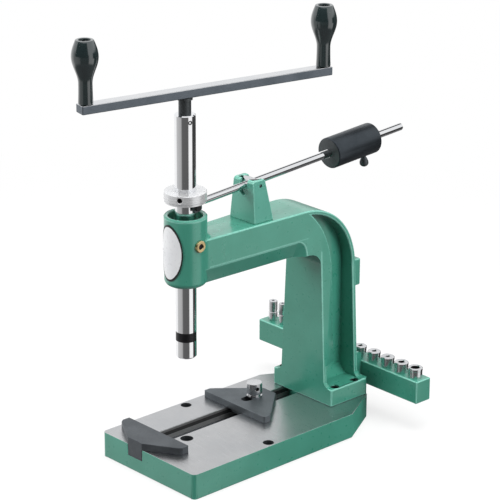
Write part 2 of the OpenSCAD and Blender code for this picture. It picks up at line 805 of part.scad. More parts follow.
module handle_axles() {
    color(steel) on_crank() for (x = [-crank_short, crank_long]) translate([x, 0, crank_low]) difference() {
        union() {
            cylinder(r = axle_r - 0.5, h = crank_t);
            translate([0, 0, crank_t]) cylinder(r = axle_r, h = handle_h - 4.5);
            translate([0, 0, crank_t + handle_h - 4.5]) cylinder(r = axle_r + 1.6, h = 3);
        }
        translate([-1, -9, crank_t + handle_h - 3]) cube([2, 18, 4]);
    }
}

// radius of the handle at height t, with t running from 0 at the neck to 1 at the top
function handle_radius(t) = t < 0.32
    ? handle_neck_r + 0.6 * pow(1 - t / 0.32, 2)
    : t < 0.745
    ? handle_neck_r + (handle_r - handle_neck_r) * (1 - cos(180 * (t - 0.32) / 0.425)) / 2
    : handle_top_r + (handle_r - handle_top_r) * cos(90 * (t - 0.745) / 0.255);

module turning_handle(x) {
    color(black) on_crank() translate([x, 0, crank_top + 0.4]) difference() {
        rotate_extrude($fn = 96) polygon(concat(
            [[0, 0]], [for (i = [0 : 24]) [handle_radius(i / 24), i / 24 * (handle_h - 1.4)]],
            [[handle_top_r - 1.4, handle_h], [0, handle_h]]
        ));
        translate([0, 0, -1]) cylinder(r = axle_r + 0.08, h = handle_h + 2);
        translate([0, 0, handle_h - 5.2]) cylinder(r = axle_r + 2.1, h = 9);
    }
}

module handle_short() {
    turning_handle(-crank_short);
}

module handle_long() {
    turning_handle(crank_long);
}

module lever_hub() {
    w = bracket_hw - ear_t - 0.5;
    color(steel) on_lever() difference() {
        rotate([0, 90, 0]) cylinder(r = hub_r, h = 2 * w, center = true);
        rotate([0, 90, 0]) cylinder(r = pivot_r + 0.05, h = 2 * w + 2, center = true);
        for (a = [0, 180]) rotate([0, 0, a]) translate([0, hub_bore, 0]) rotate([-90, 0, 0])
            cylinder(r = rod_r, h = 9);
    }
}

module lever_rod() {
    color(steel) on_lever() translate([0, hub_bore, 0]) rotate([-90, 0, 0]) {
        cylinder(r = rod_r, h = rod_len - hub_bore - 1);
        translate([0, 0, rod_len - hub_bore - 1]) cylinder(r = rod_r - 0.7, h = 1);
    }
}

// front half of the lever, slotted underneath for the tongue of the fork
module fork_rod() {
    color(steel) on_lever() difference() {
        translate([0, -hub_bore, 0]) rotate([90, 0, 0])
            cylinder(r = rod_r, h = fork_len - rod_front - hub_bore);
        translate([-tongue_hw, -fork_len, -rod_r - 1])
            cube([2 * tongue_hw, tongue_end, rod_r + 1 + fork_low + fork_t]);
    }
}

// flat half ring round the spindle with a lug for each pin, and a tongue that goes into the rod
module lever_fork() {
    w = tine_x + tine_w / 2;
    color(dark) on_lever() translate([0, -fork_len, 0]) difference() {
        union() {
            for (s = [-1, 1]) translate([s * tine_x - tine_w / 2, 0, 0]) {
                translate([0, 0, fork_up]) rotate([0, 90, 0]) cylinder(r = fork_boss_r, h = tine_w);
                translate([0, -lug_hw, fork_low]) cube([tine_w, 2 * lug_hw, fork_up - fork_low]);
            }
            translate([0, 0, fork_low]) intersection() {
                difference() {
                    cylinder(r = fork_out, h = fork_t);
                    translate([0, 0, -1]) cylinder(r = fork_in, h = fork_t + 2);
                }
                translate([-w, 0, -1]) cube([2 * w, w, fork_t + 2]);
            }
            translate([-tongue_hw, (fork_in + fork_out) / 2, fork_low])
                cube([2 * tongue_hw, tongue_end - (fork_in + fork_out) / 2, fork_t]);
        }
        translate([0, 0, fork_up]) rotate([0, 90, 0])
            cylinder(r = fork_axle_r, h = 2 * w + 2, center = true);
    }
}

module fork_pins() {
    color(black) on_lever() for (s = [0, 1]) mirror([s, 0, 0])
        translate([0, -fork_len, fork_up]) rotate([0, 90, 0]) {
            translate([0, 0, tine_x - tine_w / 2 + 0.1]) cylinder(r = fork_axle_r, h = tine_w + 1);
            translate([0, 0, tine_x + tine_w / 2]) cylinder(r = fork_pin_r, h = 4);
        }
}

// round weight with a slot down one side, so that it slips over the rod
module counterweight() {
    color(dark) on_lever() difference() {
        translate([0, weight_pos, 0]) rotate([-90, 0, 0]) rotate_extrude($fn = 96) polygon([
            [rod_r + 0.1, 0], [weight_r - 1, 0], [weight_r, 1], [weight_r, weight_len - 1],
            [weight_r - 1, weight_len], [rod_r + 0.1, weight_len]
        ]);
        translate([0, weight_screw_y, -weight_r - 1]) cylinder(r = weight_screw_r + 0.1, h = weight_r + 1);
        rotate([0, -weight_slot_turn, 0]) translate([-weight_r - 1, weight_pos - 1, -weight_slot_hw])
            cube([weight_r + 1, weight_len + 2, 2 * weight_slot_hw]);
    }
}

module weight_screw() {
    color(dark) on_lever() translate([0, weight_screw_y, -weight_r]) {
        translate([0, 0, -3]) cylinder(r = weight_screw_r, h = weight_r - rod_r + 2.8);
        rotate_extrude() polygon([[0, -3], [2.6, -3], [4.2, -6.5], [5, -7.5], [5, -13], [4.2, -14],
                                  [0, -14]]);
    }
}

module tap_holder(i) {
    s = holder_size[i];
    low = bt + rack_top;
    color(steel) translate([holder_x[i], rack_y, low]) difference() {
        rotate_extrude() polygon([
            [0, 1 - rack_socket_d], [s[1] - 1, 1 - rack_socket_d], [s[1], 2 - rack_socket_d], [s[1], 0],
            [s[0], 0], [s[0], s[3] - 3.4], [s[0] - 0.4, s[3] - 3.2], [s[0] - 0.4, s[3] - 2.6],
            [s[0], s[3] - 2.4], [s[0], s[3] - 0.5], [s[0] - 0.5, s[3]], [0, s[3]]
        ]);
        translate([0, 0, s[3] - 12]) cylinder(r = s[2], h = 20);
    }
}

module tap_holder_1() {
    tap_holder(0);
}

module tap_holder_2() {
    tap_holder(1);
}

module tap_holder_3() {
    tap_holder(2);
}

module tap_holder_4() {
    tap_holder(3);
}

module tap_holder_5() {
    tap_holder(4);
}

module tap_holder_6() {
    tap_holder(5);
}

module tap_holder_7() {
    tap_holder(6);
}

base_plate();
frame_casting();
foot_dowels();
column_bolts();
upper_bush();
lower_bush();
name_plate();
oil_plug();
lever_bracket();
bracket_screws();
pivot_pin();
tap_rack();
rack_screws();
fixed_jaw();
fixed_jaw_screws();
moving_jaw();
clamp_washer();
clamp_nut();
clamp_screw();
thrust_washer();
spindle();
lift_collar();
collar_screw();
nose_band();
detent_ball();
crank_stem();
stem_screw();
crank_arm();
handle_axles();
handle_short();
handle_long();
lever_hub();
lever_rod();
fork_rod();
lever_fork();
fork_pins();
counterweight();
weight_screw();
tap_holder_1();
tap_holder_2();
tap_holder_3();
tap_holder_4();
tap_holder_5();
tap_holder_6();
tap_holder_7();
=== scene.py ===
# %% [markdown]
# # Hand crank tapping tool
# This lesson dresses a bench tapping tool: a green cast frame on a ground base, a bright spindle with
# a hand crank, and a weighted lever that balances the spindle. The solids are already packed, so each
# cell takes its places from them and adds what solids lack: rounded edges, knurls, rims and finishes.

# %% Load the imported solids
import json
import math

import bmesh
import bpy
from mathutils import Matrix, Vector


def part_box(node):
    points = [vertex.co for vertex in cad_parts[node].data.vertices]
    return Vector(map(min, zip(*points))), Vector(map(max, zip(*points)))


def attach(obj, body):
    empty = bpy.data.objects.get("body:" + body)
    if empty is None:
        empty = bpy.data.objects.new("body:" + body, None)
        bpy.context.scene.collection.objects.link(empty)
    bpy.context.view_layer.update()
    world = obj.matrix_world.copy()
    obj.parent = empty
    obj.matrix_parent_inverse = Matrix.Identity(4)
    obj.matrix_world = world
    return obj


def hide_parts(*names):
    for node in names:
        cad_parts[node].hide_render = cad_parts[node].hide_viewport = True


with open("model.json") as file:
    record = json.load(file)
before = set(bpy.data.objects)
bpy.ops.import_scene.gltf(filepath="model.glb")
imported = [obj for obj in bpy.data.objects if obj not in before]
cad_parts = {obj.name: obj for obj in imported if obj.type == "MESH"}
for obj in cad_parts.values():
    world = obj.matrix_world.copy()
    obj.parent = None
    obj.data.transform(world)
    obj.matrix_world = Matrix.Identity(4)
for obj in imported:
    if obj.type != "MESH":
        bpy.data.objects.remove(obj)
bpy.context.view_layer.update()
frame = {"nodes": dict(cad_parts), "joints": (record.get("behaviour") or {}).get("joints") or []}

MM = 0.001

# %% [markdown]
# ## Camera
# The picture is taken from the front right, a little above, with a long lens, so that upright edges stay
# nearly parallel. The eye, the point it looks at and the small lean were worked out from the edges
# of the base and the holes in it, so they are written as places in space.

# %% Camera
EYE = Vector((1.7108, -1.4943, 1.0741))
LOOK_AT = Vector((0.7117, -0.5688, 0.5747))
LEAN = math.radians(0.24)
LENS_MM = 168.8


def add_camera(eye, look_at, lean, lens):
    """Adds a camera that looks from eye to look_at, leaning by a small angle."""
    ahead = (look_at - eye).normalized()
    level = ahead.cross(Vector((0, 0, 1))).normalized()
    above = level.cross(ahead)
    right = math.cos(lean) * level + math.sin(lean) * above
    up = math.cos(lean) * above - math.sin(lean) * level
    data = bpy.data.cameras.new("camera")
    data.lens = lens
    data.sensor_width = 36
    data.clip_end = 50
    camera = bpy.data.objects.new("camera", data)
    turn = Matrix((right, up, -ahead)).transposed().to_4x4()
    camera.matrix_world = Matrix.Translation(eye) @ turn
    bpy.context.scene.collection.objects.link(camera)
    bpy.context.scene.camera = camera
    return camera


camera = add_camera(EYE, LOOK_AT, LEAN, LENS_MM)
print("camera", round((LOOK_AT - EYE).length, 3), "m from the point on its axis")

# %% [markdown]
# ## Studio
# The tool stands on a white sweep under a wide softbox. Bright steel needs something to mirror: a studio
# has white walls, a darker side where the camera stands and a few dark cards that draw crisp edges on
# round bars. The world shows those only to mirror rays, and plain white to the camera.

# %% World
SKY = 0.15
CARD_TURNS = [  # share of a full turn, starting from -X, and how bright the wall is there
    (0.00, 1.00), (0.093, 1.00), (0.113, 0.58), (0.170, 0.52), (0.265, 0.43), (0.300, 0.12),
    (0.476, 0.11), (0.502, 1.00), (0.622, 1.00), (0.634, 0.05), (0.860, 0.05), (0.890, 1.00),
]
DARK_CARDS = [  # from and to as shares of a turn, from and to as heights
    ((0.775, 0.872), (0.737, 0.915)),
    ((0.590, 0.645), (0.385, 0.535)),
    ((0.160, 0.475), (0.450, 0.800)),
]
CARD_EDGE = 0.012
CARD_BLACK = (0.03, 0.03, 0.03, 1)
SOFTBOX_WHITE = (0.97, 0.98, 0.99, 1)
FLOOR_GREY = (0.16, 0.16, 0.165, 1)
CAMERA_WHITE = (1, 1, 1, 1)


def link(tree, source, target):
    """Joins two sockets of a node tree."""
    tree.links.new(source, target)


def math_node(tree, operation, first, second):
    """A Math node; numbers go on its own sockets and sockets are linked."""
    node = tree.nodes.new("ShaderNodeMath")
    node.operation = operation
    for socket, value in zip(node.inputs, (first, second)):
        if isinstance(value, (int, float)):
            socket.default_value = value
        else:
            link(tree, value, socket)
    return node.outputs[0]


def ramp(tree, factor, stops):
    """A colour ramp of greys, from (place, grey) stops."""
    node = tree.nodes.new("ShaderNodeValToRGB")
    band = node.color_ramp
    while len(band.elements) < len(stops):
        band.elements.new(0.5)
    for element, (place, grey) in zip(band.elements, stops):
        element.position = place
        element.color = (grey, grey, grey, 1)
    link(tree, factor, node.inputs["Fac"])
    return node.outputs["Color"]


def strip(tree, factor, start, end):
    """White between two places of a factor, with soft ends, and black elsewhere."""
    rise = [(start - CARD_EDGE, 0), (start + CARD_EDGE, 1)]
    fall = [(end - CARD_EDGE, 1), (end + CARD_EDGE, 0)]
    return ramp(tree, factor, [(0, 0), *rise, *fall, (1, 0)])


def mix_colour(tree, factor, first, second):
    """A Mix node for colours."""
    node = tree.nodes.new("ShaderNodeMix")
    node.data_type = "RGBA"
    sockets = (node.inputs[0], node.inputs[6], node.inputs[7])
    for socket, value in zip(sockets, (factor, first, second)):
        if hasattr(value, "is_linked"):
            link(tree, value, socket)
        else:
            socket.default_value = value
    return node.outputs[2]


def build_world():
    """White for the camera, soft even light for matt surfaces, and studio walls for mirror rays."""
    world = bpy.data.worlds.new("studio")
    bpy.context.scene.world = world
    world.use_nodes = True
    tree = world.node_tree
    tree.nodes.clear()
    direction = tree.nodes.new("ShaderNodeTexCoord")
    parts = tree.nodes.new("ShaderNodeSeparateXYZ")
    link(tree, direction.outputs["Generated"], parts.inputs[0])
    turn = math_node(tree, "ARCTAN2", parts.outputs["Y"], parts.outputs["X"])
    share = math_node(tree, "MULTIPLY_ADD", turn, 1 / math.tau)
    share.node.inputs[2].default_value = 0.5
    walls = ramp(tree, share, CARD_TURNS)
    height = math_node(tree, "MULTIPLY_ADD", parts.outputs["Z"], 0.5)
    height.node.inputs[2].default_value = 0.5
    overhead = ramp(tree, height, [(0.0, 0.0), (0.50, 0.0), (0.58, 1.0), (1.0, 1.0)])
    below = ramp(tree, height, [(0.0, 1.0), (0.19, 1.0), (0.25, 0.0), (1.0, 0.0)])
    mirrored = mix_colour(tree, overhead, walls, SOFTBOX_WHITE)
    for turns, heights in DARK_CARDS:
        across, upright = strip(tree, share, *turns), strip(tree, height, *heights)
        card = math_node(tree, "MULTIPLY", across, upright)
        mirrored = mix_colour(tree, card, mirrored, CARD_BLACK)
    mirrored = mix_colour(tree, below, mirrored, FLOOR_GREY)
    path = tree.nodes.new("ShaderNodeLightPath")
    through = path.outputs["Is Transmission Ray"]
    seen = math_node(tree, "MAXIMUM", path.outputs["Is Camera Ray"], through)
    colour = mix_colour(tree, path.outputs["Is Glossy Ray"], (SKY, SKY, SKY, 1), mirrored)
    colour = mix_colour(tree, seen, colour, CAMERA_WHITE)
    background = tree.nodes.new("ShaderNodeBackground")
    link(tree, colour, background.inputs["Color"])
    output = tree.nodes.new("ShaderNodeOutputWorld")
    link(tree, background.outputs[0], output.inputs[0])
    return world


world = build_world()
bpy.context.scene.view_settings.view_transform = "Standard"
print("world nodes:", len(world.node_tree.nodes))

# %% [markdown]
# The floor is a plain pale sheet. To the camera part of it glows, more so far away, so it reads as white
# paper, and the rest is lit, so it keeps a soft shadow under the tool. Three soft lamps do the lighting:
# a wide one overhead, one behind the right side and one at the front left, so that the two sides of the
# tool are bright and what faces the camera is a little darker. Mirrors show the studio walls, not the lamps.

# %% Floor and lamps
FLOOR_HALF = 4.0
FLOOR_DROP = 0.4 * MM
PAPER_SEEN = (0.82, 0.82, 0.82, 1)
PAPER_BOUNCE = (0.14, 0.14, 0.14, 1)
GLOW_REACH = {"From Min": 0.45, "From Max": 1.10, "To Min": 0.72, "To Max": 1.0}
LAMP_AIM = (0, 0.05, 0.2)


def add_floor(half):
    """A white floor that keeps the shadow of the tool."""
    bm = bmesh.new()
    bmesh.ops.create_grid(bm, x_segments=1, y_segments=1, size=half)
    mesh = bpy.data.meshes.new("floor")
    bm.to_mesh(mesh)
    bm.free()
    floor = bpy.data.objects.new("floor", mesh)
    bpy.context.scene.collection.objects.link(floor)
    floor.location.z = -FLOOR_DROP
    material = bpy.data.materials.new("floor_paper")
    material.use_nodes = True
    tree = material.node_tree
    tree.nodes.clear()
    path = tree.nodes.new("ShaderNodeLightPath")
    glow = tree.nodes.new("ShaderNodeEmission")
    paper = tree.nodes.new("ShaderNodeBsdfDiffuse")
    shade = mix_colour(tree, path.outputs["Is Camera Ray"], PAPER_BOUNCE, PAPER_SEEN)
    link(tree, shade, paper.inputs["Color"])
    mix = tree.nodes.new("ShaderNodeMixShader")
    output = tree.nodes.new("ShaderNodeOutputMaterial")
    place = tree.nodes.new("ShaderNodeTexCoord")
    reach = tree.nodes.new("ShaderNodeVectorMath")
    reach.operation = "LENGTH"
    link(tree, place.outputs["Object"], reach.inputs[0])
    far = tree.nodes.new("ShaderNodeMapRange")
    for name, value in GLOW_REACH.items():
        far.inputs[name].default_value = value
    link(tree, reach.outputs["Value"], far.inputs["Value"])
    share = math_node(tree, "MULTIPLY", path.outputs["Is Camera Ray"], far.outputs[0])
    link(tree, share, mix.inputs[0])
    link(tree, paper.outputs[0], mix.inputs[1])
    link(tree, glow.outputs[0], mix.inputs[2])
    link(tree, mix.outputs[0], output.inputs[0])
    mesh.materials.append(material)
    floor.visible_glossy = False
    return floor


def add_lamp(name, place, aim, size, watts):
    """A square soft lamp at place, turned towards aim."""
    data = bpy.data.lights.new(name, "AREA")
    data.size = size
    data.energy = watts
    lamp = bpy.data.objects.new(name, data)
    toward = (Vector(aim) - Vector(place)).to_track_quat("-Z", "Y")
    lamp.matrix_world = Matrix.Translation(Vector(place)) @ toward.to_matrix().to_4x4()
    bpy.context.scene.collection.objects.link(lamp)
    lamp.visible_glossy = False
    return lamp


floor = add_floor(FLOOR_HALF)
lamps = [
    add_lamp("top_lamp", (0.1, 0.0, 2.0), LAMP_AIM, 1.6, 44),
    add_lamp("right_lamp", (2.1, 0.74, 1.2), LAMP_AIM, 1.2, 48),
    add_lamp("left_lamp", (-0.94, -1.72, 1.05), LAMP_AIM, 1.2, 40),
]
print({lamp.name: lamp.data.energy for lamp in lamps})

# %% [markdown]
# ## Helpers for pieces
# Two ways of making pieces come up again and again. A turned piece is a half outline spun round an axis,
# as on a lathe. A softened piece is a copy of a solid whose corners get a small round, because cast
# and machined edges always catch a line of light. Each finished piece rides on the body of its solid.

# %% Piece helpers
SPIN_STEPS = 96


def middle(node):
    """Middle of a solid's box."""
    low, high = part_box(node)
    return (low + high) / 2


def turned(outline, place, steps=SPIN_STEPS, closed=True):
    """Spins (radius, height) points round the Z axis of place. A closed outline joins its two ends."""
    bm = bmesh.new()
    verts = [bm.verts.new((r, 0, z)) for r, z in outline]
    pairs = list(zip(verts, verts[1:]))
    if closed:
        pairs.append((verts[-1], verts[0]))
    edges = [bm.edges.new(pair) for pair in pairs]
    bmesh.ops.spin(bm, geom=verts + edges, cent=(0, 0, 0), axis=(0, 0, 1), angle=math.tau,
                   steps=steps, use_merge=True)
    bmesh.ops.remove_doubles(bm, verts=bm.verts, dist=1e-7)
    bmesh.ops.recalc_face_normals(bm, faces=bm.faces)
    bmesh.ops.transform(bm, matrix=place, verts=bm.verts)
    return bm


def merged_copy(node):
    """A copy of a solid's mesh with its loose triangles joined and its flat faces made whole."""
    bm = bmesh.new()
    bm.from_mesh(frame["nodes"][node].data)
    bmesh.ops.remove_doubles(bm, verts=bm.verts, dist=2e-6)
    bmesh.ops.dissolve_limit(bm, angle_limit=math.radians(0.4), verts=bm.verts, edges=bm.edges)
    return bm


def soften(bm, size, keep=lambda edge: True, sharp=30, segments=3, slot=0):
    """Rounds the outside edges of bm that are sharper than an angle and that keep() accepts."""
    limit = math.radians(sharp)
    outside = [edge for edge in bm.edges if edge.is_manifold and edge.is_convex]
    edges = [edge for edge in outside if edge.calc_face_angle() > limit and keep(edge)]
    made = bmesh.ops.bevel(bm, geom=edges, offset=size, offset_type="OFFSET", segments=segments,
                           profile=0.5, affect="EDGES", clamp_overlap=False, material=-1)
    for face in made["faces"]:
        face.material_index = slot
    return len(edges)


def put(bm, name, body, slot, materials, *nodes, smooth=35, crisp=False):
    """Makes bm a piece that rides on body and stands for the named solids. Crisp keeps flat faces flat."""
    mesh = bpy.data.meshes.new(name)
    bm.to_mesh(mesh)
    bm.free()
    for material in materials:
        mesh.materials.append(material)
    mesh.polygons.foreach_set("use_smooth", [True] * len(mesh.polygons))
    mesh.set_sharp_from_angle(angle=math.radians(smooth))
    piece = bpy.data.objects.new(name, mesh)
    bpy.context.scene.collection.objects.link(piece)
    if crisp:
        piece.modifiers.new("flat_faces", "WEIGHTED_NORMAL").keep_sharp = True
    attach(piece, body)
    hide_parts(*nodes)
    print(name, "faces:", len(mesh.polygons))
    return piece


print("a turned piece has", SPIN_STEPS, "sides")

# %% [markdown]
# ## Finishes
# Every finish starts from one shader with the places of the piece as its coordinates, so that grain
# runs through all pieces at one scale. Numbers that are the same everywhere are set on the shader,
# and noise drives only what really varies: tint, gloss and the fine bump.

# %% Finish helpers
def finish(name, colour, metallic, roughness):
    """A new material with one shader; returns the material, its tree, the shader and the coordinates."""
    material = bpy.data.materials.new(name)
    material.use_nodes = True
    tree = material.node_tree
    shader = tree.nodes["Principled BSDF"]
    shader.inputs["Base Color"].default_value = (*colour, 1)
    shader.inputs["Metallic"].default_value = metallic
    shader.inputs["Roughness"].default_value = roughness
    coords = tree.nodes.new("ShaderNodeTexCoord")
    return material, tree, shader, coords.outputs["Object"]


def noise(tree, coords, scale, detail=3.0, stretch=(1, 1, 1)):
    """Noise at a scale per metre, stretched along the axes of the piece."""
    mapping = tree.nodes.new("ShaderNodeMapping")
    mapping.inputs["Scale"].default_value = stretch
    link(tree, coords, mapping.inputs["Vector"])
    node = tree.nodes.new("ShaderNodeTexNoise")
    node.inputs["Scale"].default_value = scale
    node.inputs["Detail"].default_value = detail
    link(tree, mapping.outputs[0], node.inputs["Vector"])
    return node.outputs["Fac"]


def between(tree, factor, low, high):
    """Maps the middle of a noise to a range of numbers."""
    node = tree.nodes.new("ShaderNodeMapRange")
    node.inputs["From Min"].default_value = 0.3
    node.inputs["From Max"].default_value = 0.7
    node.inputs["To Min"].default_value = low
    node.inputs["To Max"].default_value = high
    link(tree, factor, node.inputs["Value"])
    return node.outputs[0]


def tint(tree, shader, factor, first, second):
    """Lets the colour drift between two tints."""
    spread = between(tree, factor, 0, 1)
    link(tree, mix_colour(tree, spread, (*first, 1), (*second, 1)), shader.inputs["Base Color"])


def bump(tree, shader, height, strength, distance):
    """Adds a fine bump."""
    node = tree.nodes.new("ShaderNodeBump")
    node.inputs["Strength"].default_value = strength
    node.inputs["Distance"].default_value = distance
    link(tree, height, node.inputs["Height"])
    link(tree, node.outputs[0], shader.inputs["Normal"])


print("finish helpers ready")

# %% [markdown]
# The casting, the sides of the base, the bracket and the rack carry green machine enamel. It is sprayed on
# rough iron, so it has a slight orange peel and the sand of the mould shows through. Two greens and
# a coarse noise give the drift, and a finer noise gives the skin. The rounded edges get a paler green:
# partly thin paint, partly a painted highlight along each edge. The bracket gets a paler green too,
# which is painted light for the brighter light it shows.

# %% Green enamel
def green_enamel(name, first, second, low, high):
    """Gloss machine enamel whose green drifts between two tints."""
    material, tree, shader, coords = finish(name, first, 0.0, low)
    shader.inputs["Coat Weight"].default_value = 0.7
    shader.inputs["Coat Roughness"].default_value = 0.15
    tint(tree, shader, noise(tree, coords, 30, 4), first, second)
    link(tree, between(tree, noise(tree, coords, 160), low, high), shader.inputs["Roughness"])
    bump(tree, shader, noise(tree, coords, 420, 2), 0.04, 0.0005)
    return material


GREEN = green_enamel("green_enamel", (0.044, 0.240, 0.170), (0.055, 0.276, 0.200), 0.26, 0.38)
# Paler green for the rounded edges: partly thin paint, partly a painted highlight.
GREEN_EDGE_WEAR_AND_HIGHLIGHT = green_enamel("green_enamel_edge_wear_and_highlight", (0.150, 0.430, 0.340), (0.190, 0.480, 0.390), 0.22, 0.32)
# The bracket's paler green is painted light, for the brighter light it shows.
GREEN_BRACKET_PAINTED_LIGHT = green_enamel("green_enamel_bracket_painted_light", (0.085, 0.300, 0.230), (0.100, 0.335, 0.262),
                             0.26, 0.38)
print(GREEN.name, GREEN_EDGE_WEAR_AND_HIGHLIGHT.name, GREEN_BRACKET_PAINTED_LIGHT.name)

# %% [markdown]
# Bright steel comes in six states here. The base top is surface ground, so it has fine lines across it.
# The spindle is ground on centres, so its lines run round it. The lever rod is plated and mirrors
# everything, the small pieces are plainly turned, and the collar is turned finer and paler. The top of
# the crank gets a bright steel as a painted reflection of the overhead light, so it shows near white.

# %% Bright steels
def steel(name, grey, low, high, stretch, scale, strength, metallic=1.0):
    """Bright steel with tool marks stretched along one direction."""
    material, tree, shader, coords = finish(name, (grey, grey, grey * 1.02), metallic, low)
    lines = noise(tree, coords, scale, 4, stretch)
    clouds = noise(tree, coords, 25, 2)
    dim = [grey * share for share in (0.95, 0.96, 0.98)]
    bright = [grey * share for share in (1.03, 1.03, 1.04)]
    tint(tree, shader, clouds, dim, bright)
    link(tree, between(tree, lines, low, high), shader.inputs["Roughness"])
    bump(tree, shader, lines, strength, 0.0002)
    return material


GROUND_TOP = steel("ground_base_top", 0.60, 0.26, 0.40, (0.03, 1, 1), 2200, 0.12)
GROUND_ROUND = steel("ground_spindle", 0.88, 0.06, 0.13, (0.03, 0.03, 1), 2200, 0.05)
PLATED = steel("plated_rod", 0.80, 0.04, 0.09, (1, 0.03, 1), 1500, 0.02)
TURNED = steel("turned_steel", 0.70, 0.15, 0.27, (0.05, 0.05, 1), 1600, 0.10)
COLLAR = steel("turned_collar", 0.72, 0.24, 0.34, (0.05, 0.05, 1), 1600, 0.08, 0.5)
# Painted reflection: the crank top is made bright steel so it shows near white.
CRANK_TOP_PAINTED_SHEEN = steel("crank_top_painted_sheen", 0.76, 0.16, 0.26, (1, 0.03, 1), 1800, 0.06)
print([m.name for m in (GROUND_TOP, GROUND_ROUND, PLATED, TURNED, COLLAR, CRANK_TOP_PAINTED_SHEEN)])

# %% [markdown]
# The jaws and screws are black oxide, a thin matt skin with a cloudy look. The crank arm and the
# counterweight are a smoother dark satin with long drawing marks. The grips are gloss
# black, the bushes and the oil plug are bronze.

# %% Dark finishes, grips and bronze
def dark_steel(name, dim, bright, low, high, stretch, scale):
    """Dark steel whose tint drifts between two greys."""
    material, tree, shader, coords = finish(name, bright, 0.85, low)
    tint(tree, shader, noise(tree, coords, 45, 5), dim, bright)
    marks = noise(tree, coords, scale, 3, stretch)
    link(tree, between(tree, marks, low, high), shader.inputs["Roughness"])
    bump(tree, shader, marks, 0.10, 0.0003)
    return material


def gloss_black():
    """Lacquered black, nearly a mirror, with a breath of green in it."""
    material, tree, shader, coords = finish("gloss_black", (0.006, 0.006, 0.007), 0.0, 0.12)
    shader.inputs["IOR"].default_value = 1.65
    shader.inputs["Coat Weight"].default_value = 0.9
    shader.inputs["Coat IOR"].default_value = 1.6
    shader.inputs["Coat Roughness"].default_value = 0.05
    tint(tree, shader, noise(tree, coords, 60, 3), (0.010, 0.018, 0.019), (0.016, 0.026, 0.027))
    link(tree, between(tree, noise(tree, coords, 90), 0.09, 0.18), shader.inputs["Roughness"])
    bump(tree, shader, noise(tree, coords, 140, 1), 0.03, 0.0004)
    return material


def bronze():
    """Turned bronze with a slightly spotted tint."""
    material, tree, shader, coords = finish("bronze", (0.74, 0.56, 0.30), 1.0, 0.25)
    tint(tree, shader, noise(tree, coords, 180, 4), (0.66, 0.48, 0.23), (0.82, 0.65, 0.36))
    link(tree, between(tree, noise(tree, coords, 500), 0.2, 0.34), shader.inputs["Roughness"])
    bump(tree, shader, noise(tree, coords, 900, 2), 0.08, 0.0002)
    return material


EVEN = (1, 1, 1)
DRAWN = (1, 0.04, 1)
OXIDE = dark_steel("black_oxide", (0.104, 0.115, 0.126), (0.148, 0.161, 0.174), 0.42, 0.56, EVEN, 700)
WORN_OXIDE = dark_steel("worn_oxide", (0.135, 0.152, 0.166), (0.190, 0.212, 0.227), 0.42, 0.56, EVEN, 700)
SATIN = dark_steel("dark_satin", (0.115, 0.135, 0.155), (0.145, 0.165, 0.19), 0.30, 0.42, DRAWN, 1300)
WEIGHT = dark_steel("weight_satin", (0.040, 0.048, 0.056), (0.058, 0.068, 0.078), 0.30, 0.42, DRAWN, 1300)
PALER_DARK_STEEL = dark_steel("paler_dark_steel", (0.085, 0.095, 0.10), (0.12, 0.13, 0.135), 0.45, 0.6, EVEN, 600)
# Black for the screws, also used as painted shade in the cross hole, the bores and the oil dimple.
SCREW_BLACK_AND_SHADE = dark_steel("screw_black_and_painted_shade", (0.03, 0.03, 0.032), (0.05, 0.05, 0.053), 0.35, 0.5, EVEN, 900)
BLACK = gloss_black()
BRONZE = bronze()
print([m.name for m in (OXIDE, WORN_OXIDE, SATIN, WEIGHT, PALER_DARK_STEEL, SCREW_BLACK_AND_SHADE, BLACK, BRONZE)])

# %% [markdown]
# The oval plate on the head is left blank: white enamel with a dark rim. The enamel is slightly
# clouded, so it doesn't read as bare paper.

# %% Plate enamel
def enamel(name, dim, bright, roughness):
    """Fired enamel whose tint and gloss are a little clouded."""
    material, tree, shader, coords = finish(name, bright, 0.0, roughness)
    tint(tree, shader, noise(tree, coords, 70, 3), dim, bright)
    link(tree, between(tree, noise(tree, coords, 300), roughness - 0.06, roughness + 0.08),
         shader.inputs["Roughness"])
    bump(tree, shader, noise(tree, coords, 500, 2), 0.05, 0.0002)
    return material


WHITE_ENAMEL = enamel("white_enamel", (0.74, 0.75, 0.77), (0.80, 0.81, 0.82), 0.3)
DARK_ENAMEL = enamel("dark_enamel", (0.010, 0.012, 0.012), (0.018, 0.020, 0.020), 0.32)
print(WHITE_ENAMEL.name, DARK_ENAMEL.name)

# %% [markdown]
# ## Frame casting
# The frame is one iron casting: a foot, a hollow sided column, a curved shoulder, an arm and a round head.
# It could be sculpted, but its solid is already right, so a copy of it only gets the soft edges of
# a casting. Small bolt holes keep their crisp machined edges.

# %% Frame casting
CAST_ROUND = 1.6 * MM
HOLE_EDGE = 2.2 * MM


def long_edge(edge):
    """True for edges that are longer than the short steps round a bolt hole."""
    return edge.calc_length() > HOLE_EDGE


casting = merged_copy("frame_casting")
print("rounded edges:", soften(casting, CAST_ROUND, long_edge, sharp=22, slot=1))

# %% [markdown]
# Where the head grows out of the arm, a founder fills the inside corners with hollow rounds, because sharp
# ones crack. Each side gets a shallow fill whose curve touches both the head and the arm. A cove
# is spun round the head on top of the arm, and thins out towards the arm's edges. The long chamfers under
# the arm don't stop short at the column: a small shell at each lets its crease curve down to the corner.

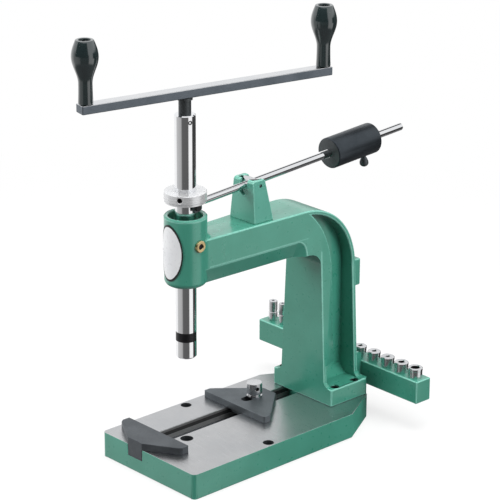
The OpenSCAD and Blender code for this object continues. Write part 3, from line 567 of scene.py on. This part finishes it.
# %% Hollow rounds and chamfer ends
HEAD_RADIUS = -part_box("frame_casting")[0].y
ARM_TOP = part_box("lever_bracket")[0].z
ARM_HALF = 20 * MM
ARM_SPREAD = 7 / 170
CREASE = 223 * MM
SIDE_HOLLOW = 28 * MM
COVE = 6 * MM
COVE_FULL = math.radians(30)
COVE_END = math.radians(62)
COVE_THIN = 0.9
BURIED = 1 * MM
CUT_WIDE = 8.5 * MM
CUT_TALL = 19 * MM
CUT_END = 150 * MM
RUN_OUT = 13 * MM
RUN_OUT_ROUND = 0.9 * MM
SKIN = 0.05 * MM


def side_touch():
    """Centre of the circle that touches head and arm, and the direction from the arm to it."""
    away = Vector((1, -ARM_SPREAD)).normalized()
    near, far = 0.0, 2 * HEAD_RADIUS
    for _ in range(40):
        y = (near + far) / 2
        centre = Vector((ARM_HALF + ARM_SPREAD * y, y)) + SIDE_HOLLOW * away
        if centre.length < HEAD_RADIUS + SIDE_HOLLOW:
            near = y
        else:
            far = y
    return centre, away


def side_round(side):
    """A shallow hollow fill in the upright corner between head and arm, right (1) or left (-1)."""
    centre, away = side_touch()
    first = math.atan2(-centre.y, -centre.x) % math.tau
    last = math.atan2(-away.y, -away.x) % math.tau
    turns = [first + (last - first) * i / 10 for i in range(11)]
    arc = [centre + SIDE_HOLLOW * Vector((math.cos(turn), math.sin(turn))) for turn in turns]
    inner = [arc[-1] - Vector((2 * BURIED, 0)), arc[0] - Vector((2 * BURIED, 0))]
    bm = bmesh.new()
    face = bm.faces.new([bm.verts.new((side * p.x, p.y, CREASE)) for p in arc + inner])
    grown = bmesh.ops.extrude_face_region(bm, geom=[face])["geom"]
    lifted = [item for item in grown if isinstance(item, bmesh.types.BMVert)]
    bmesh.ops.translate(bm, verts=lifted, vec=(0, 0, ARM_TOP - CAST_ROUND - CREASE))
    return bm


def top_cove():
    """A hollow round on the arm behind the head."""
    turns = [math.pi + math.pi / 2 * i / 8 for i in range(9)]
    outline = [(HEAD_RADIUS + COVE * (1 + math.cos(turn)), COVE * (1 + math.sin(turn))) for turn in turns]
    inside = HEAD_RADIUS - BURIED
    outline += [(HEAD_RADIUS + COVE, -BURIED), (inside, -BURIED), (inside, COVE)]
    bm = bmesh.new()
    verts = [bm.verts.new((r * math.sin(COVE_END), r * math.cos(COVE_END), z)) for r, z in outline]
    edges = [bm.edges.new(pair) for pair in zip(verts, verts[1:] + verts[:1])]
    bmesh.ops.spin(bm, geom=verts + edges, cent=(0, 0, 0), axis=(0, 0, 1), angle=2 * COVE_END, steps=48)
    bmesh.ops.holes_fill(bm, edges=[edge for edge in bm.edges if edge.is_boundary])
    for vert in bm.verts:
        radius = vert.co.xy.length
        lean = abs(math.atan2(vert.co.x, vert.co.y))
        fade = min(max((lean - COVE_FULL) / (COVE_END - COVE_FULL), 0), 1)
        full = 1 - COVE_THIN * fade * fade * (3 - 2 * fade)
        if radius > HEAD_RADIUS:
            vert.co.xy *= (HEAD_RADIUS + (radius - HEAD_RADIUS) * full) / radius
        if vert.co.z > 0:
            vert.co.z *= full
        vert.co.z += ARM_TOP
    return bm


def crease_edge(edge):
    """True for the edges of a chamfer end that lie along its crease."""
    return all(vert.co.x > 0 and vert.co.z < CUT_TALL + BURIED / 2 for vert in edge.verts)


def chamfer_end(side):
    """A shell that lets the chamfer under the arm run out in a curve, right (1) or left (-1)."""
    start, back, top = CUT_END - RUN_OUT, CUT_END + 2 * BURIED, CUT_TALL + BURIED
    turns = [math.pi / 2 * i / 8 for i in range(9)]
    crease = [(start + RUN_OUT * math.sin(turn), CUT_TALL * math.cos(turn)) for turn in turns]
    outline = crease + [(back, 0), (back, top), (start, top)]
    bm = bmesh.new()
    face = bm.faces.new([bm.verts.new((SKIN, y, z)) for y, z in outline])
    grown = bmesh.ops.extrude_face_region(bm, geom=[face])["geom"]
    inner = [item for item in grown if isinstance(item, bmesh.types.BMVert)]
    bmesh.ops.translate(bm, verts=inner, vec=(-CUT_WIDE - SKIN, 0, 0))
    drawn = [vert for vert in inner if vert.co.y < CUT_END + BURIED and vert.co.z < CUT_TALL + BURIED / 2]
    bmesh.ops.pointmerge(bm, verts=drawn, merge_co=(-CUT_WIDE, start, 0))
    bmesh.ops.recalc_face_normals(bm, faces=bm.faces)
    soften(bm, RUN_OUT_ROUND, crease_edge, sharp=15, segments=2, slot=1)
    along_arm = Matrix.Rotation(-math.atan(ARM_SPREAD), 4, "Z")
    place = Matrix.Translation((ARM_HALF, 0, CREASE - CUT_TALL)) @ along_arm
    bmesh.ops.transform(bm, matrix=Matrix.Diagonal((side, 1, 1, 1)) @ place, verts=bm.verts)
    return bm


def join(bm, extra):
    """Adds the closed shell extra to bm, with its faces outward."""
    bmesh.ops.recalc_face_normals(extra, faces=extra.faces)
    print("shell of", len(extra.faces), "faces, volume", round(extra.calc_volume() / MM ** 3), "mm3")
    mesh = bpy.data.meshes.new("shell")
    extra.to_mesh(mesh)
    extra.free()
    bm.from_mesh(mesh)
    bpy.data.meshes.remove(mesh)


shells = (side_round(1), side_round(-1), top_cove(), chamfer_end(1), chamfer_end(-1))
for shell in shells:
    join(casting, shell)
put(casting, "cast_frame", "frame", "green_casting", [GREEN, GREEN_EDGE_WEAR_AND_HIGHLIGHT], "frame_casting", crisp=True)

# %% [markdown]
# ## Base
# The base is a thick plate, painted round its sides and ground bright on top, with a groove for the jaw and
# a few holes. Faces that look straight up become ground steel, the holes and the groove floor keep a dark
# machined skin that no grinder reaches, and the rest stays green. The groove walls get painted bands of
# grey: a dark band of painted shade between lighter bands of painted light, which stand in for a shape
# of the groove wall that the solid lacks.

# %% Base
EDGE_BREAK = 0.8 * MM
GROOVE_DEEP = 12.5 * MM
GROOVE_HALF = 11.5 * MM
NEAR = 1 * MM
PAINT_DEEP = 2 * MM
REAR_MARGIN = 60 * MM
# Painted light and shade on the groove walls: a dark band between lighter ones.
GROOVE_LIGHT_AND_SHADE_BANDS = [(0, 0.60), (0.40, 0.58), (0.43, 0.11), (0.73, 0.11), (0.76, 0.36), (1, 0.40)]

base_low, base_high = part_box("base_plate")
groove_x = middle("fixed_jaw").x
base = merged_copy("base_plate")
rounded = soften(base, EDGE_BREAK, long_edge)


def painted_groove_bands():
    """Steel in painted bands of light and shade, from the floor of the groove to the top of the base."""
    material, tree, shader, coords = finish("painted_groove_bands", (0.3, 0.3, 0.3), 0.85, 0.5)
    parts = tree.nodes.new("ShaderNodeSeparateXYZ")
    link(tree, coords, parts.inputs[0])
    share = tree.nodes.new("ShaderNodeMapRange")
    share.inputs["From Min"].default_value = base_high.z - GROOVE_DEEP
    share.inputs["From Max"].default_value = base_high.z
    link(tree, parts.outputs["Z"], share.inputs["Value"])
    link(tree, ramp(tree, share.outputs[0], GROOVE_LIGHT_AND_SHADE_BANDS), shader.inputs["Base Color"])
    bump(tree, shader, noise(tree, coords, 900, 2, (1, 0.05, 1)), 0.08, 0.0002)
    return material


def base_slot(face):
    """0 for painted sides, 1 for the ground top, 2 for floors and holes, 3 for the groove walls."""
    spot = face.calc_center_median()
    beside = abs(abs(spot.x - groove_x) - GROOVE_HALF) < NEAR
    if abs(face.normal.x) > 0.9 and beside and spot.z > base_high.z - GROOVE_DEEP:
        return 3
    if face.normal.z > 0.5:
        return 1 if spot.z > base_high.z - PAINT_DEEP else 2
    inside = base_low.x + PAINT_DEEP < spot.x < base_high.x - PAINT_DEEP and abs(face.normal.z) < 0.5
    inside = inside and base_low.y + PAINT_DEEP < spot.y < base_high.y - REAR_MARGIN
    return 2 if inside else 0


for face in base.faces:
    face.material_index = base_slot(face)
walls = sum(face.material_index == 3 for face in base.faces)
base_skins = [GREEN, GROUND_TOP, OXIDE, painted_groove_bands()]
put(base, "ground_base", "frame", "green_casting", base_skins, "base_plate", crisp=True)
print("rounded edges:", rounded, "groove walls:", walls)

# %% [markdown]
# ## Bracket and rack
# The lever bracket is a small casting screwed on the arm, and the rack is a green bar behind the column
# that stores the tap holders. Both are copies of their solids with rounded edges.

# %% Bracket and rack
BRACKET_ROUND = 1.0 * MM
RACK_ROUND = 1.2 * MM
RACK_EDGE = 15 * MM

bracket = merged_copy("lever_bracket")
soften(bracket, BRACKET_ROUND, long_edge, slot=1)
# The bracket's paler green is painted light.
bracket_skins = [GREEN_BRACKET_PAINTED_LIGHT, GREEN_EDGE_WEAR_AND_HIGHLIGHT]
put(bracket, "cast_bracket", "frame", "green_casting", bracket_skins, "lever_bracket", crisp=True)

rack = merged_copy("tap_rack")
soften(rack, RACK_ROUND, lambda edge: edge.calc_length() > RACK_EDGE, slot=1)
put(rack, "painted_rack", "frame", "green_casting", [GREEN, GREEN_EDGE_WEAR_AND_HIGHLIGHT], "tap_rack", crisp=True)

# %% [markdown]
# ## Jaws
# Two flat jaws hold the work: one is fixed at the front of the groove, the other slides and is locked by
# a screw with a cross hole. Their edges are only broken with a file, so the rounds are small. The walls
# of the cross hole are painted black, as painted shade.

# %% Jaws and clamp screw
JAW_ROUND = 0.6 * MM
CLAMP_ROUND = 0.4 * MM
CROSS_TURN = math.radians(20)
CROSS_DEEP = 5.6 * MM
CROSS_RADIUS = 2.3 * MM

for node, body, skin in (("fixed_jaw", "frame", OXIDE), ("moving_jaw", "jaw", WORN_OXIDE)):
    jaw = merged_copy(node)
    soften(jaw, JAW_ROUND, long_edge, segments=2)
    put(jaw, node + "_filed", body, "dark_steel", [skin], node, crisp=True)

clamp = merged_copy("clamp_screw")
soften(clamp, CLAMP_ROUND, sharp=60, segments=2)
cross_way = Vector((math.cos(CROSS_TURN), -math.sin(CROSS_TURN), 0))
cross_mid = middle("clamp_screw")
cross_mid.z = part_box("clamp_screw")[1].z - CROSS_DEEP
# Painted shade: the faces of the cross hole get the black.
for face in clamp.faces:
    reach = face.calc_center_median() - cross_mid
    aside = (reach - reach.dot(cross_way) * cross_way).length
    face.material_index = 1 if aside < CROSS_RADIUS else 0
put(clamp, "clamp_screw_turned", "clamp", "ground_steel", [TURNED, SCREW_BLACK_AND_SHADE], "clamp_screw", crisp=True)

# %% [markdown]
# ## Crank
# The crank is a square-ended bar with the black stem under it. The bar is a softened copy: its sides keep
# the dark skin of drawn bar, and its top gets a bright steel as a painted reflection of the overhead
# light. The grips are turned again with a smooth outline: a neck that spreads at its foot, a swell and a
# small flat top with a recess for the axle.

# %% Crank arm and grips
BAR_ROUND = 0.9 * MM
GRIP_FOOT = 7.7 * MM
GRIP_NECK = 7.1 * MM
GRIP_TOP = 9.4 * MM
GRIP_BORE = 4.1 * MM
GRIP_RECESS = 6.1 * MM
RECESS_DEPTH = 5.2 * MM
NECK_SHARE = 0.32
SWELL_SHARE = 0.745

arm = merged_copy("crank_arm")
soften(arm, BAR_ROUND, sharp=60)
# Painted reflection: faces that look up get the bright top steel.
for face in arm.faces:
    face.material_index = 1 if face.normal.z > 0.7 else 0
put(arm, "crank_bar", "spindle_unit", "blued_steel", [SATIN, CRANK_TOP_PAINTED_SHEEN], "crank_arm", crisp=True)


def grip_radius(share, widest):
    """Radius of a grip at a share of its height."""
    if share < NECK_SHARE:
        return GRIP_NECK + (GRIP_FOOT - GRIP_NECK) * (1 - share / NECK_SHARE) ** 2
    if share < SWELL_SHARE:
        rise = (share - NECK_SHARE) / (SWELL_SHARE - NECK_SHARE)
        return GRIP_NECK + (widest - GRIP_NECK) * (1 - math.cos(math.pi * rise)) / 2
    fall = (share - SWELL_SHARE) / (1 - SWELL_SHARE)
    return GRIP_TOP + (widest - GRIP_TOP) * math.cos(math.pi / 2 * fall)


def grip_outline(height, widest, steps=40):
    """Half outline of a grip, up the outside, over the rim and down the bore."""
    body = [(grip_radius(i / steps, widest), i / steps * (height - 0.6 * MM)) for i in range(steps + 1)]
    rim = [(GRIP_TOP - 0.3 * MM, height - 0.15 * MM), (GRIP_TOP - 0.9 * MM, height)]
    recess = [(GRIP_RECESS + 0.5 * MM, height), (GRIP_RECESS, height - 0.5 * MM),
              (GRIP_RECESS, height - RECESS_DEPTH), (GRIP_BORE, height - RECESS_DEPTH), (GRIP_BORE, 0)]
    return [(GRIP_FOOT - 0.6 * MM, 0), (GRIP_FOOT - 0.1 * MM, 0.5 * MM)] + body[1:] + rim + recess


for node, body in (("handle_short", "short_handle"), ("handle_long", "long_handle")):
    low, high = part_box(node)
    spot = middle(node)
    outline = grip_outline(high.z - low.z, (high.x - low.x) / 2)
    grip = turned(outline, Matrix.Translation((spot.x, spot.y, low.z)))
    put(grip, node.replace("handle", "grip"), body, "black_handle", [BLACK], node)

# %% [markdown]
# ## Lifting collar
# The collar is a turned ring pressed on the spindle. Its solid is right but for the corners, which a turner
# always breaks, so a softened copy stands for it.

# %% Lifting collar
collar_low, collar_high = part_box("lift_collar")
COLLAR_RADIUS = (collar_high.x - collar_low.x) / 2
COLLAR_ROUND = 0.9 * MM


def collar_rim(edge):
    """True for the edges round the outside of the collar."""
    return min(vert.co.xy.length for vert in edge.verts) > 0.97 * COLLAR_RADIUS


ring = merged_copy("lift_collar")
print("rim edges:", soften(ring, COLLAR_ROUND, collar_rim, sharp=60, segments=2))
put(ring, "collar_turned", "spindle_unit", "ground_steel", [COLLAR], "lift_collar", crisp=True)

# %% [markdown]
# ## Stem screw
# A grub screw in the side of the spindle holds the stem of the crank. It is turned about its own axis, which
# points straight out of the spindle: a dark screw with a bright disc in the middle of its outer end.

# %% Stem screw
SCREW_OUT = 10.8 * MM
BRIGHT_CENTRE_RADIUS = 1.22 * MM

stem_spot = middle("stem_screw")
outward = Vector((stem_spot.x, stem_spot.y, 0)).normalized()
stem_place = Matrix.Translation((0, 0, stem_spot.z)) @ outward.to_track_quat("Z", "Y").to_matrix().to_4x4()
stem_screw = turned([
    (0, 6.5 * MM), (2.2 * MM, 6.5 * MM), (2.2 * MM, SCREW_OUT - 0.3 * MM), (1.9 * MM, SCREW_OUT),
    (1.5 * MM, SCREW_OUT), (1.3 * MM, SCREW_OUT - 0.4 * MM), (1.2 * MM, SCREW_OUT - 0.1 * MM),
    (0, SCREW_OUT),
], Matrix.Identity(4), 32, closed=False)
for face in stem_screw.faces:
    spot = face.calc_center_median()
    bright_centre = spot.z > SCREW_OUT - 2 * MM and math.hypot(spot.x, spot.y) < BRIGHT_CENTRE_RADIUS
    face.material_index = 1 if bright_centre else 0
bmesh.ops.transform(stem_screw, matrix=stem_place, verts=stem_screw.verts)
put(stem_screw, "stem_screw_turned", "spindle_unit", "dark_steel", [SCREW_BLACK_AND_SHADE, COLLAR], "stem_screw")

# %% [markdown]
# ## Lever
# The lever leans a little, so its pieces are turned on an upright axis and then laid along it. Its pivot and
# its lean come from the joints. The counterweight is slotted down one side to slip over the rod, so it is
# a softened copy of its solid with a paler front face. Its thumb screw is a knurled drop.

# %% Counterweight and thumb screw
joints = {joint["name"]: joint for joint in frame["joints"]}
pivot = Vector(joints["lever_tilt"]["pos_m"])
along = Vector(joints["weight_slide"]["axis"])
across = Vector((1, 0, 0))
LEVER = Matrix.Translation(pivot) @ Matrix((across, along.cross(across), along)).transposed().to_4x4()

WEIGHT_FRONT = 115 * MM
WEIGHT_RADIUS = 17 * MM
WEIGHT_ROUND = 0.45 * MM


def outer_edge(edge):
    """True for edges of the counterweight that lie well away from its bore."""
    spot = LEVER.inverted() @ ((edge.verts[0].co + edge.verts[1].co) / 2)
    return math.hypot(spot.x, spot.y) > 0.5 * WEIGHT_RADIUS


weight = merged_copy("counterweight")
soften(weight, WEIGHT_ROUND, outer_edge, sharp=40, segments=2)
weight.normal_update()
for face in weight.faces:
    face.material_index = 1 if face.normal.dot(along) < -0.9 else 0
put(weight, "lever_weight", "weight", "blued_steel", [WEIGHT, PALER_DARK_STEEL], "counterweight", smooth=30)

# %% [markdown]
# The thumb screw is turned with a drop-shaped head, and a pair of rollers presses the knurl into it. Here
# every other point of the turned head is pushed in a little, row by row, which makes the crossed pattern.

# %% Thumb screw
SCREW_PLACE = WEIGHT_FRONT + 53 * MM
DROP_LONG = 13 * MM
DROP_WIDE = 5.0 * MM
KNURL_DEEP = 0.35 * MM
KNURL_TEETH = 30
DROP_STEPS = 26
STALK = 1.9 * MM
SWELL_AT = 0.68
END_LONG = 0.34
SHANK = 2.3 * MM
SHANK_LONG = 12.5 * MM


def drop_radius(share):
    """Radius of the thumb screw's drop, from its stalk at 0 to its round end at 1."""
    if share < SWELL_AT:
        return STALK + (DROP_WIDE - STALK) * math.sin(math.pi / 2 * share / SWELL_AT) ** 1.5
    return DROP_WIDE * math.sqrt(max(0.0, 1 - ((share - SWELL_AT) / END_LONG) ** 2))


shares = [i / DROP_STEPS for i in range(DROP_STEPS + 1)]
drop = [(drop_radius(share), -share * DROP_LONG) for share in shares]
shank = [(0, SHANK_LONG), (SHANK, SHANK_LONG), (SHANK, 0.4 * MM)]
screw = turned(shank + drop + [(0, -DROP_LONG)], Matrix.Identity(4), 2 * KNURL_TEETH, closed=False)
for vert in screw.verts:
    radius = math.hypot(vert.co.x, vert.co.y)
    knurled = vert.co.z < -0.3 * DROP_LONG and radius > 0.6 * DROP_WIDE
    tooth = round(math.atan2(vert.co.y, vert.co.x) / math.tau * 2 * KNURL_TEETH)
    row = round(-vert.co.z / DROP_LONG * DROP_STEPS)
    if knurled and (tooth + row) % 2:
        vert.co.xy *= (radius - KNURL_DEEP) / radius
lay_down = Matrix.Translation((0, WEIGHT_RADIUS, SCREW_PLACE)) @ Matrix.Rotation(math.pi / 2, 4, "X")
bmesh.ops.transform(screw, matrix=LEVER @ lay_down, verts=screw.verts)
put(screw, "thumb_screw", "weight_lock", "dark_steel", [OXIDE], "weight_screw", smooth=20)

# %% [markdown]
# ## Head trim
# The head carries two small things: the blank oval plate in front and a bronze oil plug at the side. The
# plate starts as a flat disc of rings, drawn out to an oval and bent round the head. Its outermost
# ring is the dark rim.

# %% Blank plate
RIM_FROM = 0.925
PLATE_THICK = 0.7 * MM

plate_low, plate_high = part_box("name_plate")
half_wide = (plate_high.x - plate_low.x) / 2
half_tall = (plate_high.z - plate_low.z) / 2
plate_mid = middle("name_plate")
bend = -plate_low.y
spokes = [(RIM_FROM * i / 10, 0) for i in range(11)]
plate = turned(spokes + [(1.0, 0)], Matrix.Identity(4), closed=False)
for face in plate.faces:
    face.material_index = 1 if face.calc_center_median().length > RIM_FROM else 0
for vert in plate.verts:
    x = vert.co.x * half_wide
    z = plate_mid.z + vert.co.y * half_tall
    vert.co = (x, -math.sqrt(bend ** 2 - x ** 2), z)
bmesh.ops.recalc_face_normals(plate, faces=plate.faces)
plate.normal_update()
if sum((face.normal.y for face in plate.faces)) > 0:
    bmesh.ops.reverse_faces(plate, faces=plate.faces)
bmesh.ops.solidify(plate, geom=plate.faces, thickness=PLATE_THICK)
reach = [math.hypot(vert.co.x, vert.co.y) for vert in plate.verts]
print("plate from", round(min(reach) / MM, 2), "to", round(max(reach) / MM, 2), "mm off the spindle axis")
put(plate, "oval_plate", "frame", "blank_plate", [WHITE_ENAMEL, DARK_ENAMEL], "name_plate")

# %% [markdown]
# The oil plug is a turned bronze button with a dimple in its middle, painted dark as the shade of a
# deeper hole. It is turned upright and then laid on its side to point out of the head.

# %% Oil plug
DIMPLE_SHADE_RADIUS = 2.6 * MM

plug_low, plug_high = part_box("oil_plug")
plug_mid = middle("oil_plug")
plug_radius = (plug_high.z - plug_low.z) / 2
plug_face = Matrix.Translation((plug_high.x, plug_mid.y, plug_mid.z))
side_turn = plug_face @ Matrix.Rotation(math.pi / 2, 4, "Y")
plug_foot = plug_low.x - plug_high.x
plug = turned([
    (0, -1.6 * MM), (2.4 * MM, -1.6 * MM), (2.7 * MM, -0.5 * MM), (3.3 * MM, 0),
    (plug_radius - 0.9 * MM, 0), (plug_radius - 0.2 * MM, -0.5 * MM), (plug_radius, -1.2 * MM),
    (plug_radius, -2.4 * MM), (3.0 * MM, -2.4 * MM), (3.0 * MM, plug_foot), (0, plug_foot),
], side_turn, 48, closed=False)
# Painted shade: the dimple gets the dark finish.
for face in plug.faces:
    reach = face.calc_center_median() - plug_mid
    face.material_index = 1 if reach.x > 0 and math.hypot(reach.y, reach.z) < DIMPLE_SHADE_RADIUS else 0
put(plug, "oil_plug_turned", "frame", "bronze", [BRONZE, SCREW_BLACK_AND_SHADE], "oil_plug")

# %% [markdown]
# ## Tap holders
# Each holder is a turned sleeve that stands in the rack: a shank in the hole, a collar above it with
# a broken edge, and a bore for the tap whose walls are painted black as painted shade. The two at the left
# are long and slim with a step.
# Two outlines serve them all, with their sizes read from each solid.

# %% Tap holders
RACK_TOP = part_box("tap_rack")[1].z
HOLDER_BORES = {3: 2.6, 4: 2.7, 5: 2.4, 6: 3.6, 7: 4.9}
SLIM_BORE = 1.7
BORE_DEEP = 10 * MM


def wide_holder(low, top, collar, bore):
    """Outline of a short wide holder."""
    shank = 6.8 * MM
    return [(0, low), (shank - 1 * MM, low), (shank, low + 1 * MM), (shank, 0), (collar - 0.3 * MM, 0),
            (collar - 0.3 * MM, top - 3.4 * MM), (collar, top - 3.0 * MM), (collar, top - 0.8 * MM),
            (collar - 0.7 * MM, top), (bore + 0.7 * MM, top), (bore, top - 0.7 * MM),
            (bore, top - BORE_DEEP), (0, top - BORE_DEEP)]


def slim_holder(low, top, collar, bore):
    """Outline of a long slim holder."""
    shank = collar - 0.75 * MM
    return [(0, low), (shank - 1 * MM, low), (shank, low + 1 * MM), (shank, 0), (collar, 0.3 * MM),
            (collar, 0.42 * top), (collar - 0.5 * MM, 0.44 * top), (collar - 0.5 * MM, 0.5 * top),
            (collar - 0.15 * MM, 0.52 * top), (collar - 0.15 * MM, top - 0.6 * MM),
            (collar - 0.8 * MM, top), (bore + 0.3 * MM, top), (bore, top - 0.4 * MM),
            (bore, top - BORE_DEEP), (0, top - BORE_DEEP)]


for number in range(1, 8):
    node = f"tap_holder_{number}"
    low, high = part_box(node)
    spot = middle(node)
    collar = (high.x - low.x) / 2
    shape = wide_holder if number in HOLDER_BORES else slim_holder
    bore = HOLDER_BORES.get(number, SLIM_BORE) * MM
    outline = shape(low.z - RACK_TOP, high.z - RACK_TOP, collar, bore)
    holder = turned(outline, Matrix.Translation((spot.x, spot.y, RACK_TOP)), 48, closed=False)
    # Painted shade: the walls of the bore get the black.
    for face in holder.faces:
        reach = face.calc_center_median() - Vector((spot.x, spot.y, RACK_TOP))
        face.material_index = 1 if reach.z > 0 and math.hypot(reach.x, reach.y) < 1.02 * bore else 0
    put(holder, f"holder_{number}_turned", f"holder_{number}", "ground_steel", [TURNED, SCREW_BLACK_AND_SHADE], node)

# %% [markdown]
# ## Solids that stay
# The spindle, pins, bushes and screws have the right shapes already. They keep their solids and
# only get their finishes.

# %% Finishes of the other solids
SOLID_FINISHES = {
    "spindle": GROUND_ROUND, "collar_screw": SCREW_BLACK_AND_SHADE, "nose_band": SCREW_BLACK_AND_SHADE,
    "detent_ball": PLATED, "crank_stem": PALER_DARK_STEEL, "handle_axles": TURNED,
    "lever_hub": TURNED, "lever_rod": PLATED, "fork_rod": PLATED, "lever_fork": OXIDE, "fork_pins": SCREW_BLACK_AND_SHADE,
    "thrust_washer": COLLAR, "upper_bush": BRONZE, "lower_bush": BRONZE, "foot_dowels": TURNED,
    "column_bolts": SCREW_BLACK_AND_SHADE, "bracket_screws": SCREW_BLACK_AND_SHADE, "pivot_pin": OXIDE, "rack_screws": SCREW_BLACK_AND_SHADE,
    "fixed_jaw_screws": SCREW_BLACK_AND_SHADE, "clamp_washer": TURNED, "clamp_nut": OXIDE,
}
for node, material in SOLID_FINISHES.items():
    mesh = frame["nodes"][node].data
    mesh.materials.clear()
    mesh.materials.append(material)
print("solids with a finish:", len(SOLID_FINISHES))
